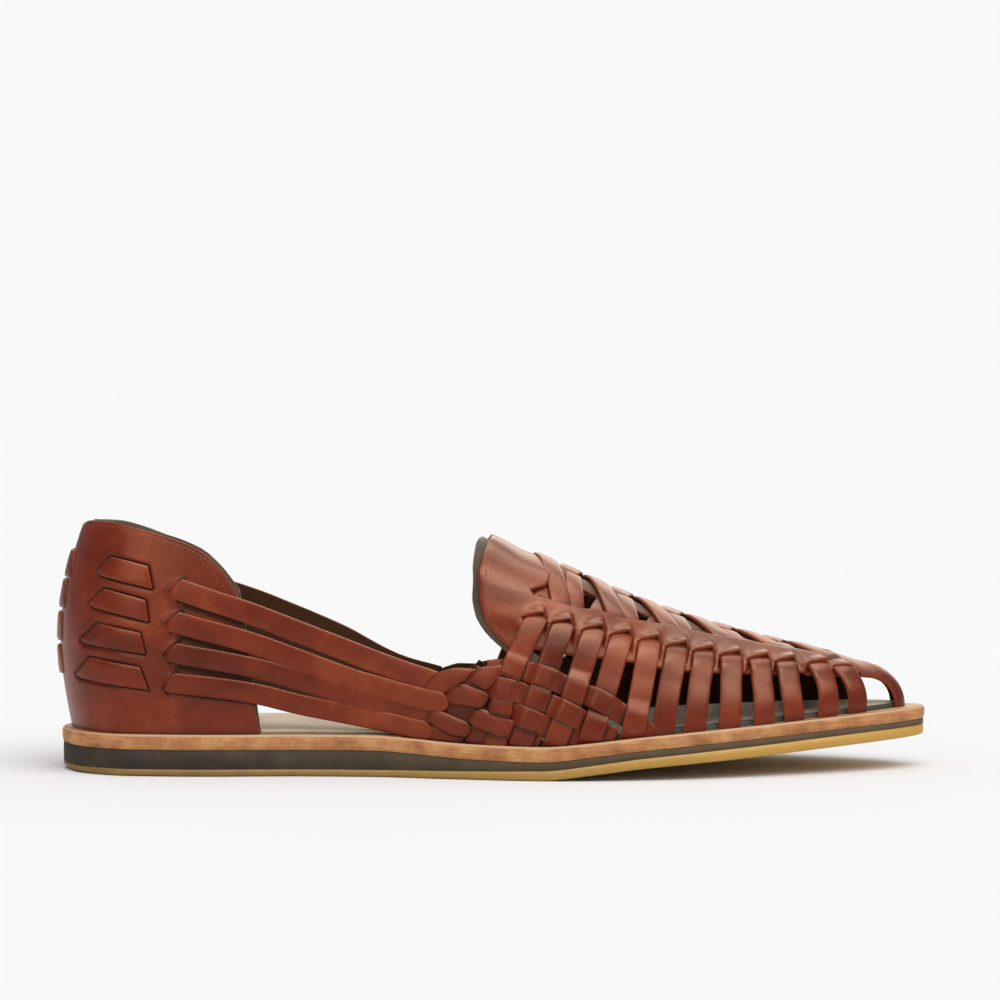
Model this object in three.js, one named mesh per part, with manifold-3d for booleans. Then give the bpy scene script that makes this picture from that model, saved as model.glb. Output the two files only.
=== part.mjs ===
// A woven leather huarache sandal for the right foot: rubber outsole, foam wedge, leather midsole,
// insole, and an upper of straps and strips lasted over one foot form.
// Millimetres. +X points to the toe, +Z up, and +Y is the inner side of the foot.
// The origin lies on the floor under the middle of the whole shoe.
import * as THREE from 'three';
import { mergeVertices } from 'three/addons/utils/BufferGeometryUtils.js';
import Module from 'manifold-3d';

const wasm = await Module();
wasm.setup();

// Driving sizes
const soleLength = 290;
const heelOverhang = 0.4; // how far the heel cup bulges behind the sole
const middle = (soleLength - heelOverhang) / 2; // sole length behind the origin
const joinGap = 0.3; // clearance between pieces that are glued face to face
const tuck = -0.025; // lift at which leather pieces start, under the sole top, before they are trimmed
const leather = 2.0; // thickness of one layer of upper leather
const outer = 1; // the outer, little-toe side of the foot
const inner = -1; // the inner, big-toe side of the foot
const sides = [outer, inner];

// Sole outline: half widths across the sole, and the swing of its middle line to the inner side.
const outline = [
  { at: 0, half: 0, swing: 0 },
  { at: 10, half: 23.6, swing: 0 },
  { at: 25, half: 32, swing: 0 },
  { at: 50, half: 34.4, swing: 0 },
  { at: 80, half: 33.6, swing: 0.3 },
  { at: 105, half: 34.3, swing: -0.7 },
  { at: 130, half: 39.6, swing: -2 },
  { at: 155, half: 45.6, swing: -1.8 },
  { at: 180, half: 48.6, swing: -0.2 },
  { at: 200, half: 47.6, swing: 1.2 },
  { at: 225, half: 41.5, swing: 2.4 },
  { at: 250, half: 31.8, swing: 3 },
  { at: 270, half: 21.2, swing: 3 },
  { at: 282, half: 12.6, swing: 2.8 },
  { at: 290, half: 0, swing: 2.6 },
];

// Sole stack: height of the underside, then the thickness of each layer.
const stack = [
  { at: 0, spring: 1, rubber: 1.5, foam: 6.5, board: 5 },
  { at: 8, spring: 0.3, rubber: 2.1, foam: 6.5, board: 5 },
  { at: 16, spring: 0, rubber: 2.4, foam: 6.4, board: 5 },
  { at: 104, spring: 0, rubber: 2.4, foam: 6.3, board: 5 },
  { at: 120, spring: 0, rubber: 2.6, foam: 5.2, board: 5 },
  { at: 135, spring: 0, rubber: 2.8, foam: 3.9, board: 5 },
  { at: 160, spring: 0, rubber: 3.3, foam: 2.8, board: 5 },
  { at: 178, spring: 1.9, rubber: 3.4, foam: 2.6, board: 4.6 },
  { at: 193, spring: 3.7, rubber: 3.5, foam: 2.5, board: 4.4 },
  { at: 226, spring: 6.2, rubber: 3.8, foam: 2.3, board: 4.3 },
  { at: 259, spring: 8.8, rubber: 3.8, foam: 2.1, board: 4.2 },
  { at: 290, spring: 10.8, rubber: 3.6, foam: 2, board: 4.2 },
];

// Crest of the foot form: the height of its top line along the length.
const crest = [
  { at: 0, rise: 84 },
  { at: 40, rise: 85 },
  { at: 75, rise: 88 },
  { at: 105, rise: 89 },
  { at: 125, rise: 84 },
  { at: 143, rise: 74.5 },
  { at: 160, rise: 68.2 },
  { at: 174, rise: 62 },
  { at: 187, rise: 56.2 },
  { at: 201, rise: 50.8 },
  { at: 214, rise: 46.6 },
  { at: 228, rise: 42.6 },
  { at: 241, rise: 39.4 },
  { at: 255, rise: 36.6 },
  { at: 270, rise: 33.4 },
];

// Ribs of the foot form, by their turn round the sole from heel (0) to toe (180 degrees): inset of the
// foot from the sole edge, where the rib meets the crest, how far out the crest is there, the rib's
// swell, and how much it is domed (1) rather than straight (0).
const ribs = [
  { turn: 0, inset: 5.4, topAt: 10, topOut: 0, swell: 6, dome: 0 },
  { turn: 10, inset: 5.3, topAt: 11.4, topOut: 8.2, swell: 5.8, dome: 0 },
  { turn: 20, inset: 5.2, topAt: 15.8, topOut: 15.6, swell: 5.2, dome: 0 },
  { turn: 32, inset: 5, topAt: 26, topOut: 21.6, swell: 4, dome: 0 },
  { turn: 46, inset: 4.8, topAt: 45, topOut: 23.8, swell: 3, dome: 0.05 },
  { turn: 60, inset: 4.8, topAt: 71, topOut: 23, swell: 2.6, dome: 0.15 },
  { turn: 75, inset: 4.8, topAt: 105, topOut: 18, swell: 1.6, dome: 0.6 },
  { turn: 90, inset: 4.8, topAt: 141, topOut: 3, swell: 0.5, dome: 1 },
  { turn: 105, inset: 4.8, topAt: 178, topOut: 0, swell: 0, dome: 1 },
  { turn: 120, inset: 4.8, topAt: 212, topOut: 0, swell: 0, dome: 1 },
  { turn: 135, inset: 5, topAt: 240, topOut: 0, swell: 0, dome: 1 },
  { turn: 150, inset: 5.6, topAt: 257, topOut: 0, swell: 0, dome: 1 },
  { turn: 165, inset: 6.8, topAt: 264.4, topOut: 0, swell: 0, dome: 1 },
  { turn: 173, inset: 7.5, topAt: 266.5, topOut: 0, swell: 0, dome: 1 },
  { turn: 180, inset: 7.8, topAt: 267, topOut: 0, swell: 0, dome: 1 },
];

// A smooth curve through the rows of a table: reads one column at one value of the key column.
function reader(rows, key, column, shape = (value) => value) {
  const xs = rows.map((row) => row[key]);
  const ys = rows.map((row) => shape(row[column]));
  const last = xs.length - 1;
  const steps = xs.slice(1).map((x, i) => (ys[i + 1] - ys[i]) / (x - xs[i]));
  const slopes = xs.map((x, i) => {
    if (i === 0) return steps[0];
    if (i === last) return steps[last - 1];
    return steps[i - 1] * steps[i] <= 0 ? 0 : (2 * steps[i - 1] * steps[i]) / (steps[i - 1] + steps[i]);
  });
  return (x) => {
    const held = Math.min(Math.max(x, xs[0]), xs[last]);
    let i = 0;
    while (i < last - 1 && held > xs[i + 1]) i += 1;
    const span = xs[i + 1] - xs[i];
    const t = (held - xs[i]) / span;
    const rising = t * t * (3 - 2 * t);
    const leaving = t * (1 - t) * (1 - t);
    const arriving = t * t * (t - 1);
    return ys[i] + (ys[i + 1] - ys[i]) * rising + span * (slopes[i] * leaving + slopes[i + 1] * arriving);
  };
}

const halfSquared = reader(outline, 'at', 'half', (half) => half * half); // squares keep the ends round
const swing = reader(outline, 'at', 'swing');
const spring = reader(stack, 'at', 'spring');
const layers = ['rubber', 'foam', 'board'].map((name) => reader(stack, 'at', name));
const crestRise = reader(crest, 'at', 'rise');
const rib = Object.fromEntries(
  ['inset', 'topAt', 'topOut', 'swell', 'dome'].map((name) => [name, reader(ribs, 'turn', name)]),
);

// Height of the top of so many layers of the sole stack.
function stackTop(at, count) {
  return layers.slice(0, count).reduce((height, layer) => height + layer(at), spring(at));
}

// A point of the sole outline, by its turn in radians: 0 at the heel end, pi at the toe end,
// the outer side first and the inner side after pi.
function outlinePoint(turn) {
  const at = (soleLength / 2) * (1 - Math.cos(turn));
  const half = Math.sqrt(Math.max(halfSquared(at), 0));
  const side = Math.sin(turn) >= 0 ? outer : inner;
  return new THREE.Vector2(at, swing(at) - side * half);
}

// The same point moved inwards, square to the outline.
function insetPoint(turn, inset) {
  const step = 0.002;
  const along = outlinePoint(turn + step).sub(outlinePoint(turn - step)).normalize();
  return outlinePoint(turn).add(new THREE.Vector2(-along.y, along.x).multiplyScalar(inset));
}

// The foot form's surface. turn goes from the heel (0) round one side to the toe (pi), and lift from
// the sole (0) to the crest (1); past those ends it runs on over the other side.
function footPoint(side, turn, lift) {
  if (turn < 0) return footPoint(-side, -turn, lift);
  if (turn > Math.PI) return footPoint(-side, 2 * Math.PI - turn, lift);
  if (lift > 1) return footPoint(-side, turn, 2 - lift);
  const degrees = THREE.MathUtils.radToDeg(turn);
  const around = side === outer ? turn : 2 * Math.PI - turn;
  const foot = insetPoint(around, rib.inset(degrees));
  const topAt = rib.topAt(degrees);
  const top = new THREE.Vector2(topAt, swing(topAt) - side * rib.topOut(degrees));
  const height = Math.sin((lift * Math.PI) / 2);
  const domed = 1 - Math.sqrt(Math.max(1 - height * height, 0));
  const dome = rib.dome(degrees);
  const flat = foot.clone().lerp(top, dome * domed + (1 - dome) * height);
  const out = insetPoint(around, rib.inset(degrees) - 1).sub(foot);
  flat.addScaledVector(out, rib.swell(degrees) * Math.sin(Math.PI * height));
  const base = stackTop(foot.x, 3) + joinGap;
  return new THREE.Vector3(flat.x, flat.y, base + (crestRise(topAt) - base) * height);
}

// The form's outward direction at the same place.
function footNormal(side, turn, lift) {
  const step = 0.004;
  const held = Math.min(Math.max(lift, step), turn > Math.PI - 0.1 ? 0.97 : 2);
  const around = footPoint(side, turn + step, held).sub(footPoint(side, turn - step, held));
  const up = footPoint(side, turn, held + step).sub(footPoint(side, turn, held - step));
  return up.cross(around).multiplyScalar(-side).normalize();
}

// Finds the turn and lift of the place on one side that has this distance from the heel and height.
function placeOf(side, at, rise) {
  let turn = Math.acos(1 - (2 * at) / soleLength);
  let lift = 0.5;
  for (let round = 0; round < 30; round += 1) {
    const here = footPoint(side, turn, lift);
    const step = 0.01;
    const slopeTurn = (footPoint(side, turn + step, lift).x - here.x) / step;
    const slopeLift = (footPoint(side, turn, lift + step).z - here.z) / step;
    turn += THREE.MathUtils.clamp((at - here.x) / slopeTurn, -0.1, 0.1);
    lift += THREE.MathUtils.clamp((rise - here.z) / slopeLift, -0.1, 0.1);
    turn = THREE.MathUtils.clamp(turn, 0.02, Math.PI - 0.02);
    lift = THREE.MathUtils.clamp(lift, 0, 0.98);
  }
  return { turn, lift };
}

// Edges of the leather pieces on the form, as places in turn (degrees) and lift.
const counterTop = [
  { turn: 0, rise: 83 },
  { turn: 20, rise: 83 },
  { turn: 32, rise: 81.2 },
  { turn: 42, rise: 77.5 },
  { turn: 48, rise: 73.5 },
  { turn: 51.5, rise: 68 },
  { turn: 54.5, rise: 60.5 },
];
const counterFront = { bottom: 58, top: 54.5 };
const throat = [
  { lift: 0.32, turn: 92.8 },
  { lift: 0.37, turn: 90.2 },
  { lift: 0.42, turn: 88.9 },
  { lift: 0.5, turn: 88.3 },
  { lift: 0.6, turn: 88.4 },
  { lift: 0.7, turn: 88.9 },
  { lift: 1, turn: 91.3 },
];
const plugEdge = [
  { turn: 92.8, lift: 0.325, steps: 1 },
  { turn: 96, lift: 0.35, steps: 3 },
  { turn: 108, lift: 0.37, steps: 3 },
  { turn: 121, lift: 0.388, steps: 4 },
  { turn: 136, lift: 0.45, steps: 2 },
  { turn: 147, lift: 0.48, steps: 3 },
  { turn: 157, lift: 0.47, steps: 2 },
  { turn: 160.4, lift: 0.36, steps: 1 },
  { turn: 161.3, lift: 0.18, steps: 1 },
  { turn: 162, lift: 0, steps: 4 },
  { turn: 180, lift: 0, steps: 0 },
];

// Side strips: the first one's place under the rail and at the sole, the pitches, and the width.
const strips = { count: 12, topAt: 157.7, topPitch: 9.38, footAt: 141.4, footPitch: 11.3, width: 7 };
const slitLift = reader(
  [
    { turn: 95, lift: 0.47 },
    { turn: 107, lift: 0.495 },
    { turn: 119, lift: 0.53 },
    { turn: 129, lift: 0.57 },
    { turn: 148, lift: 0.61 },
  ],
  'turn',
  'lift',
);

// Quarter straps: places along their middle lines, as distance from the heel and height.
const straps = [
  {
    name: 'collar',
    width: 6.6,
    line: [
      { at: 136, rise: 29 },
      { at: 141, rise: 34 },
      { at: 146, rise: 36.4 },
      { at: 152, rise: 37 },
      { at: 162, rise: 33.2 },
      { at: 171, rise: 29.2 },
      { at: 180, rise: 24.8 },
      { at: 189, rise: 19.6 },
      { at: 195, rise: 15.5 },
    ],
  },
  {
    name: 'first',
    width: 6.9,
    line: [
      { at: 38, rise: 61 },
      { at: 61, rise: 53.6 },
      { at: 91, rise: 43 },
      { at: 123, rise: 32 },
      { at: 134, rise: 31.2 },
      { at: 149, rise: 29.2 },
      { at: 168, rise: 22.2 },
      { at: 183, rise: 14.6 },
    ],
  },
  {
    name: 'second',
    width: 6.8,
    line: [
      { at: 38, rise: 50.5 },
      { at: 63, rise: 43.7 },
      { at: 81, rise: 37.6 },
      { at: 102, rise: 30.7 },
      { at: 124, rise: 25 },
      { at: 137, rise: 25.5 },
      { at: 156, rise: 20 },
      { at: 171, rise: 14 },
    ],
  },
  {
    name: 'third',
    width: 6.4,
    line: [
      { at: 38, rise: 40.5 },
      { at: 65, rise: 35.4 },
      { at: 86, rise: 29.8 },
      { at: 101, rise: 25.2 },
      { at: 120, rise: 21 },
      { at: 133, rise: 20.6 },
      { at: 144, rise: 18.5 },
      { at: 158, rise: 13.6 },
    ],
  },
  {
    name: 'fourth',
    width: 6.4,
    line: [
      { at: 38, rise: 30.5 },
      { at: 64, rise: 27.3 },
      { at: 81, rise: 23.3 },
      { at: 98, rise: 20.2 },
      { at: 118, rise: 16.4 },
      { at: 131, rise: 16.4 },
      { at: 146, rise: 13.4 },
    ],
  },
];

// Close weave where straps and strips cross: the wall behind them, from the sole up to this height.
const weaveWall = [
  { at: 124, rise: 24 },
  { at: 132, rise: 33 },
  { at: 141, rise: 37 },
  { at: 152, rise: 39 },
  { at: 162, rise: 35 },
  { at: 172, rise: 30 },
  { at: 184, rise: 22 },
];

function asSolid(geometry) {
  const bare = geometry.clone();
  bare.deleteAttribute('normal');
  bare.deleteAttribute('uv');
  const merged = mergeVertices(bare, 1e-4);
  const mesh = new wasm.Mesh({
    numProp: 3,
    vertProperties: new Float32Array(merged.attributes.position.array),
    triVerts: new Uint32Array(merged.index.array),
  });
  return new wasm.Manifold(mesh);
}

function asGeometry(solid) {
  const mesh = solid.getMesh();
  const geometry = new THREE.BufferGeometry();
  geometry.setAttribute('position', new THREE.BufferAttribute(mesh.vertProperties, 3));
  geometry.setIndex(new THREE.BufferAttribute(mesh.triVerts, 1));
  geometry.computeVertexNormals();
  return geometry;
}

// A closed sheet between two faces of a grid. place(row, column, face) gives each corner, face 0 being
// the inner face; open edges are walled, and a zipped last row is where the two halves meet.
function sheet(rows, columns, place, zipped = false) {
  const positions = [];
  const indices = [];
  const size = (rows + 1) * (columns + 1);
  const at = (row, column, face) => face * size + row * (columns + 1) + column;
  for (const face of [0, 1]) {
    for (let row = 0; row <= rows; row += 1) {
      for (let column = 0; column <= columns; column += 1) {
        positions.push(...place(row, column, face).toArray());
      }
    }
  }
  const quad = (a, b, c, d) => indices.push(a, b, c, a, c, d);
  for (let row = 0; row < rows; row += 1) {
    for (let column = 0; column < columns; column += 1) {
      const right = column + 1;
      quad(at(row, column, 1), at(row + 1, column, 1), at(row + 1, right, 1), at(row, right, 1));
      quad(at(row, column, 0), at(row, right, 0), at(row + 1, right, 0), at(row + 1, column, 0));
    }
    quad(at(row, 0, 0), at(row + 1, 0, 0), at(row + 1, 0, 1), at(row, 0, 1));
    quad(at(row, columns, 0), at(row, columns, 1), at(row + 1, columns, 1), at(row + 1, columns, 0));
  }
  for (let column = 0; column < columns; column += 1) {
    const right = column + 1;
    quad(at(0, column, 0), at(0, column, 1), at(0, right, 1), at(0, right, 0));
    if (!zipped) quad(at(rows, column, 0), at(rows, right, 0), at(rows, right, 1), at(rows, column, 1));
  }
  const geometry = new THREE.BufferGeometry();
  geometry.setAttribute('position', new THREE.Float32BufferAttribute(positions, 3));
  geometry.setIndex(indices);
  const solid = asSolid(geometry);
  return solid.volume() < 0 ? asSolid(flipped(geometry)) : solid;
}

function flipped(geometry) {
  const turned = geometry.clone();
  const index = turned.index.array;
  for (let i = 0; i < index.length; i += 3) {
    const first = index[i];
    index[i] = index[i + 1];
    index[i + 1] = first;
  }
  return turned;
}

// A point off the form, by turn in degrees, moved so that the origin is under the middle of the shoe.
function onForm(side, degrees, lift, offset) {
  const turn = THREE.MathUtils.degToRad(degrees);
  const point = footPoint(side, turn, lift).addScaledVector(footNormal(side, turn, lift), offset);
  point.x -= middle;
  return point;
}

function liftAt(side, degrees, rise) {
  const turn = THREE.MathUtils.degToRad(degrees);
  const low = footPoint(side, turn, 0).z;
  const high = footPoint(side, turn, 1).z;
  const height = THREE.MathUtils.clamp((rise - low) / (high - low), 0, 1);
  return (Math.asin(height) * 2) / Math.PI;
}

// The heel counter: a cup round the back of the heel, open at the top.
function heelCounter() {
  const columns = 30;
  const rows = 6;
  const topRise = reader(counterTop, 'turn', 'rise');
  return sheet(rows, columns, (row, column, face) => {
    const across = (2 * column) / columns - 1;
    const side = across < 0 ? inner : outer;
    const up = row / rows;
    const front = counterFront.bottom + (counterFront.top - counterFront.bottom) * up;
    const degrees = Math.abs(across) * front;
    const topDegrees = Math.abs(across) * counterFront.top;
    const top = liftAt(side, degrees, topRise(topDegrees));
    return onForm(side, degrees, tuck + (top - tuck) * up, face * leather);
  });
}

// The vamp plug with its rails and the toe band: one sheet over the top of the foot, from rail to rail,
// brought together in front of the toe.
function vampPlug() {
  const columns = 14;
  const throatTurn = reader(throat, 'lift', 'turn');
  const edgeLift = reader(plugEdge, 'turn', 'lift');
  const turns = plugEdge.flatMap((row, i) => {
    const next = plugEdge[i + 1];
    return Array.from({ length: row.steps }, (_, step) => row.turn + ((next.turn - row.turn) * step) / row.steps);
  });
  turns.push(180);
  const throatRows = 4; // rows over which the throat's curve fades out
  return sheet(turns.length - 1, columns, (row, column, face) => {
    const across = (2 * column) / columns - 1;
    const side = across < 0 ? outer : inner;
    const edge = edgeLift(turns[row]);
    const lift = 1 - Math.abs(across) * (1 - (edge || tuck));
    const fade = Math.max(0, 1 - row / throatRows);
    const degrees = turns[row] + (throatTurn(lift) - turns[0]) * fade;
    return onForm(side, degrees, lift, (1 + face) * 0.9 * leather);
  }, true);
}

// A strap laid on the form: a ribbon of one width along a line of places.
function ribbon(side, line, width, low, high) {
  const places = line.map((row) => new THREE.Vector2(row.turn, row.lift));
  const route = new THREE.SplineCurve(places);
  const steps = Math.max(5, Math.round(1.4 * line.length));
  const spot = (step) => {
    const place = route.getPoint(THREE.MathUtils.clamp(step / steps, 0, 1));
    return { turn: place.x, lift: place.y };
  };
  return sheet(steps, 1, (row, column, face) => {
    const here = spot(row);
    const before = spot(row - 0.5);
    const after = spot(row + 0.5);
    const along = footPoint(side, after.turn, after.lift).sub(footPoint(side, before.turn, before.lift));
    const normal = footNormal(side, here.turn, here.lift);
    const across = normal.clone().cross(along).normalize();
    const point = footPoint(side, here.turn, here.lift);
    point.addScaledVector(across, (column - 0.5) * width);
    point.addScaledVector(normal, face === 0 ? low : high);
    point.x -= middle;
    return point;
  });
}

function sideStrip(side, number) {
  const top = strips.topAt + number * strips.topPitch;
  const foot = strips.footAt + number * strips.footPitch;
  const topTurn = placeOf(side, top, 38).turn;
  const topLift = slitLift(THREE.MathUtils.radToDeg(topTurn)) + 0.03;
  const footTurn = Math.acos(1 - (2 * foot) / soleLength);
  const steps = 4;
  const line = Array.from({ length: steps + 1 }, (_, step) => {
    const down = step / steps;
    return { turn: topTurn + (footTurn - topTurn) * down, lift: topLift + (2 * tuck - topLift) * down };
  });
  return ribbon(side, line, strips.width, 0, leather);
}

function quarterStrap(side, strap) {
  const line = strap.line.map((row) => placeOf(side, row.at, row.rise));
  const end = line[line.length - 1];
  line.push({ turn: end.turn + 0.03, lift: end.lift + 3 * tuck });
  return ribbon(side, line, strap.width, 0.65 * leather, 1.65 * leather);
}

function weavePanel(side) {
  const columns = 9;
  const rows = 3;
  const first = weaveWall[0].at;
  const last = weaveWall[weaveWall.length - 1].at;
  const rise = reader(weaveWall, 'at', 'rise');
  return sheet(rows, columns, (row, column, face) => {
    const at = first + ((last - first) * column) / columns;
    const top = placeOf(side, at, rise(at));
    const degrees = THREE.MathUtils.radToDeg(top.turn);
    return onForm(side, degrees, tuck + ((top.lift - tuck) * row) / rows, (0.1 + face * 0.7) * leather);
  });
}

// The upper, trimmed flush where it meets the leather midsole.
function upper() {
  const pieces = [heelCounter(), vampPlug()];
  for (const side of sides) {
    for (let number = 0; number < strips.count; number += 1) pieces.push(sideStrip(side, number));
    for (const strap of straps) pieces.push(quarterStrap(side, strap));
    pieces.push(weavePanel(side));
  }
  const margin = 8; // reach of the trimming block round and below the sole top
  const block = soleLayer([ringAt(-margin, 3, -margin), ringAt(-margin, 3, joinGap)]);
  return pieces.reduce((whole, piece) => whole.add(piece)).subtract(block);
}

// One layer of the sole: rings of the outline from its underside to its top, with eased edges.
// Each ring has its inset from the outline and its height above the floor.
function soleLayer(rings) {
  const count = 88;
  const positions = [];
  const indices = [];
  for (const ring of rings) {
    for (let j = 0; j < count; j += 1) {
      const turn = (2 * Math.PI * j) / count;
      const point = insetPoint(turn, ring.inset(outlinePoint(turn).x));
      positions.push(point.x - middle, point.y, ring.height(point.x));
    }
  }
  const quad = (a, b, c, d) => indices.push(a, b, c, a, c, d);
  for (let ring = 0; ring < rings.length - 1; ring += 1) {
    for (let j = 0; j < count; j += 1) {
      const next = (j + 1) % count;
      const below = ring * count;
      const above = below + count;
      quad(below + j, below + next, above + next, above + j);
    }
  }
  const top = (rings.length - 1) * count;
  for (let j = 0; j < count / 2; j += 1) {
    const here = [j, (count - j) % count];
    const next = [j + 1, count - j - 1];
    quad(here[0], here[1], next[1], next[0]);
    quad(top + here[0], top + next[0], top + next[1], top + here[1]);
  }
  const geometry = new THREE.BufferGeometry();
  geometry.setAttribute('position', new THREE.Float32BufferAttribute(positions, 3));
  geometry.setIndex(indices);
  return asSolid(geometry);
}

function ringAt(inset, count, raise) {
  return { inset: () => inset, height: (at) => stackTop(at, count) + raise };
}

function outsole() {
  return soleLayer([ringAt(1.6, 0, 0), ringAt(0.3, 0, 1), ringAt(0, 1, -0.4), ringAt(0.3, 1, 0)]);
}

function midsole() {
  return soleLayer([ringAt(0.5, 1, joinGap), ringAt(0.5, 2, 0)]);
}

function leatherMidsole() {
  return soleLayer([ringAt(0.5, 2, joinGap), ringAt(0, 2, 1), ringAt(0, 3, -1.4), ringAt(0.9, 3, 0)]);
}

function insole() {
  const inset = (at) => {
    const turn = THREE.MathUtils.radToDeg(Math.acos(THREE.MathUtils.clamp(1 - (2 * at) / soleLength, -1, 1)));
    return rib.inset(turn) + 0.6;
  };
  const height = (raise) => (at) => stackTop(at, 3) + raise;
  return soleLayer([
    { inset, height: height(joinGap) },
    { inset, height: height(joinGap + 1.2) },
    { inset: (at) => inset(at) + 0.5, height: height(joinGap + 1.6) },
  ]);
}

// Surface of each piece: colour, roughness.
const finishes = {
  outsole: { color: 0xc9a35a, roughness: 0.75 },
  midsole: { color: 0x3f3426, roughness: 0.9 },
  leather_midsole: { color: 0xc08a5c, roughness: 0.6 },
  insole: { color: 0xcbbba3, roughness: 0.7 },
  upper: { color: 0x7d382a, roughness: 0.45 },
};

const group = new THREE.Group();
const makers = { outsole, midsole, leather_midsole: leatherMidsole, insole, upper };
for (const [name, make] of Object.entries(makers)) {
  const material = new THREE.MeshStandardMaterial({ ...finishes[name], metalness: 0 });
  const mesh = new THREE.Mesh(asGeometry(make()), material);
  mesh.name = name;
  group.add(mesh);
}

export default group;
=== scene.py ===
import math
import bpy
import numpy as np
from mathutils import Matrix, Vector


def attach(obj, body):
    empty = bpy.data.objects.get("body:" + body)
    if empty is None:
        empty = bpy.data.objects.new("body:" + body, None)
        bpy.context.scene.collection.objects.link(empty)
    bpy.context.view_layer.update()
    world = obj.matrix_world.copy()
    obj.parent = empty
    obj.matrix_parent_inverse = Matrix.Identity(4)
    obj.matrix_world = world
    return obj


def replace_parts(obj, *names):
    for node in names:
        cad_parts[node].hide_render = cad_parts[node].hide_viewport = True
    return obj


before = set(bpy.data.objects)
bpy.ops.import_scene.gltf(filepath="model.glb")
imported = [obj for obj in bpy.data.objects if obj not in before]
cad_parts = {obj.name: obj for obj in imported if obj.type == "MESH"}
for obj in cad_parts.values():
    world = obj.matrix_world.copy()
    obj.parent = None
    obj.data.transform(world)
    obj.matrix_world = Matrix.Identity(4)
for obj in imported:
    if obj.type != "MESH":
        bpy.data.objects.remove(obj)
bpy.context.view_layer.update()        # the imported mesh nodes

print("frame loaded")

mm = 0.001
outer = 1     # little-toe side of the foot
inner = -1    # big-toe side of the foot
sides = {"outer": outer, "inner": inner}

# The foot form, in millimetres. Places are distances from the heel end, and turns are degrees from heel to toe.
form = {
    "length": 290.0,
    "middle": 144.8,
    "joinGap": 0.3,
    "outlineAt": [0, 10, 25, 50, 80, 105, 130, 155, 180, 200, 225, 250, 270, 282, 290],
    "outlineHalf": [0, 23.6, 32, 34.4, 33.6, 34.3, 39.6, 45.6, 48.6, 47.6, 41.5, 31.8, 21.2, 12.6, 0],
    "outlineSwing": [0, 0, 0, 0, 0.3, -0.7, -2, -1.8, -0.2, 1.2, 2.4, 3, 3, 2.8, 2.6],
    "stackAt": [0, 8, 16, 104, 120, 135, 160, 178, 193, 226, 259, 290],
    "spring": [1, 0.3, 0, 0, 0, 0, 0, 1.9, 3.7, 6.2, 8.8, 10.8],
    "rubber": [1.5, 2.1, 2.4, 2.4, 2.6, 2.8, 3.3, 3.4, 3.5, 3.8, 3.8, 3.6],
    "foam": [6.5, 6.5, 6.4, 6.3, 5.2, 3.9, 2.8, 2.6, 2.5, 2.3, 2.1, 2],
    "board": [5, 5, 5, 5, 5, 5, 5, 4.6, 4.4, 4.3, 4.2, 4.2],
    "crestAt": [0, 40, 75, 105, 125, 143, 160, 174, 187, 201, 214, 228, 241, 255, 270],
    "crestRise": [84, 85, 88, 89, 84, 74.5, 68.2, 62, 56.2, 50.8, 46.6, 42.6, 39.4, 36.6, 33.4],
    "ribTurn": [0, 10, 20, 32, 46, 60, 75, 90, 105, 120, 135, 150, 165, 173, 180],
    "ribInset": [5.4, 5.3, 5.2, 5, 4.8, 4.8, 4.8, 4.8, 4.8, 4.8, 5, 5.6, 6.8, 7.5, 7.8],
    "ribTopAt": [10, 11.4, 15.8, 26, 45, 71, 105, 141, 178, 212, 240, 257, 264.4, 266.5, 267],
    "ribTopOut": [0, 8.2, 15.6, 21.6, 23.8, 23, 18, 3, 0, 0, 0, 0, 0, 0, 0],
    "ribSwell": [6, 5.8, 5.2, 4, 3, 2.6, 1.6, 0.5, 0, 0, 0, 0, 0, 0, 0],
    "ribDome": [0, 0, 0, 0, 0.05, 0.15, 0.6, 1, 1, 1, 1, 1, 1, 1, 1],
}


def curveThrough(xs, ys):
    xs, ys = np.asarray(xs, float), np.asarray(ys, float)
    steps = np.diff(ys) / np.diff(xs)
    slopes = np.concatenate([steps[:1], np.zeros(len(xs) - 2), steps[-1:]])
    before, after = steps[:-1], steps[1:]
    agree = before * after > 0                        # flat at every turning point
    slopes[1:-1] = np.where(agree, 2 * before * after / np.where(agree, before + after, 1), 0)

    def read(x):
        held = np.clip(x, xs[0], xs[-1])
        i = np.clip(np.searchsorted(xs, held, side="left") - 1, 0, len(xs) - 2)
        span = xs[i + 1] - xs[i]
        t = (held - xs[i]) / span
        bend = slopes[i] * t * (1 - t) ** 2 + slopes[i + 1] * t * t * (t - 1)
        return ys[i] + (ys[i + 1] - ys[i]) * t * t * (3 - 2 * t) + span * bend

    return read


halfSquared = curveThrough(form["outlineAt"], np.square(form["outlineHalf"]))
swing = curveThrough(form["outlineAt"], form["outlineSwing"])
spring = curveThrough(form["stackAt"], form["spring"])
layers = [curveThrough(form["stackAt"], form[name]) for name in ("rubber", "foam", "board")]
crestRise = curveThrough(form["crestAt"], form["crestRise"])
rib = {name: curveThrough(form["ribTurn"], form["rib" + name])
       for name in ("Inset", "TopAt", "TopOut", "Swell", "Dome")}


def stackTop(at, count):
    return spring(at) + sum(layer(at) for layer in layers[:count])


def outlinePoint(around):
    at = form["length"] / 2 * (1 - np.cos(around))
    half = np.sqrt(np.maximum(halfSquared(at), 0))
    side = np.where(np.sin(around) >= 0, outer, inner)
    return np.stack([at, swing(at) - side * half], axis=-1)


def insetPoint(around, inset):
    step = 0.002
    along = unit(outlinePoint(around + step) - outlinePoint(around - step))
    inward = np.stack([-along[..., 1], along[..., 0]], axis=-1)
    return outlinePoint(around) + inward * np.asarray(inset)[..., None]


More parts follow.
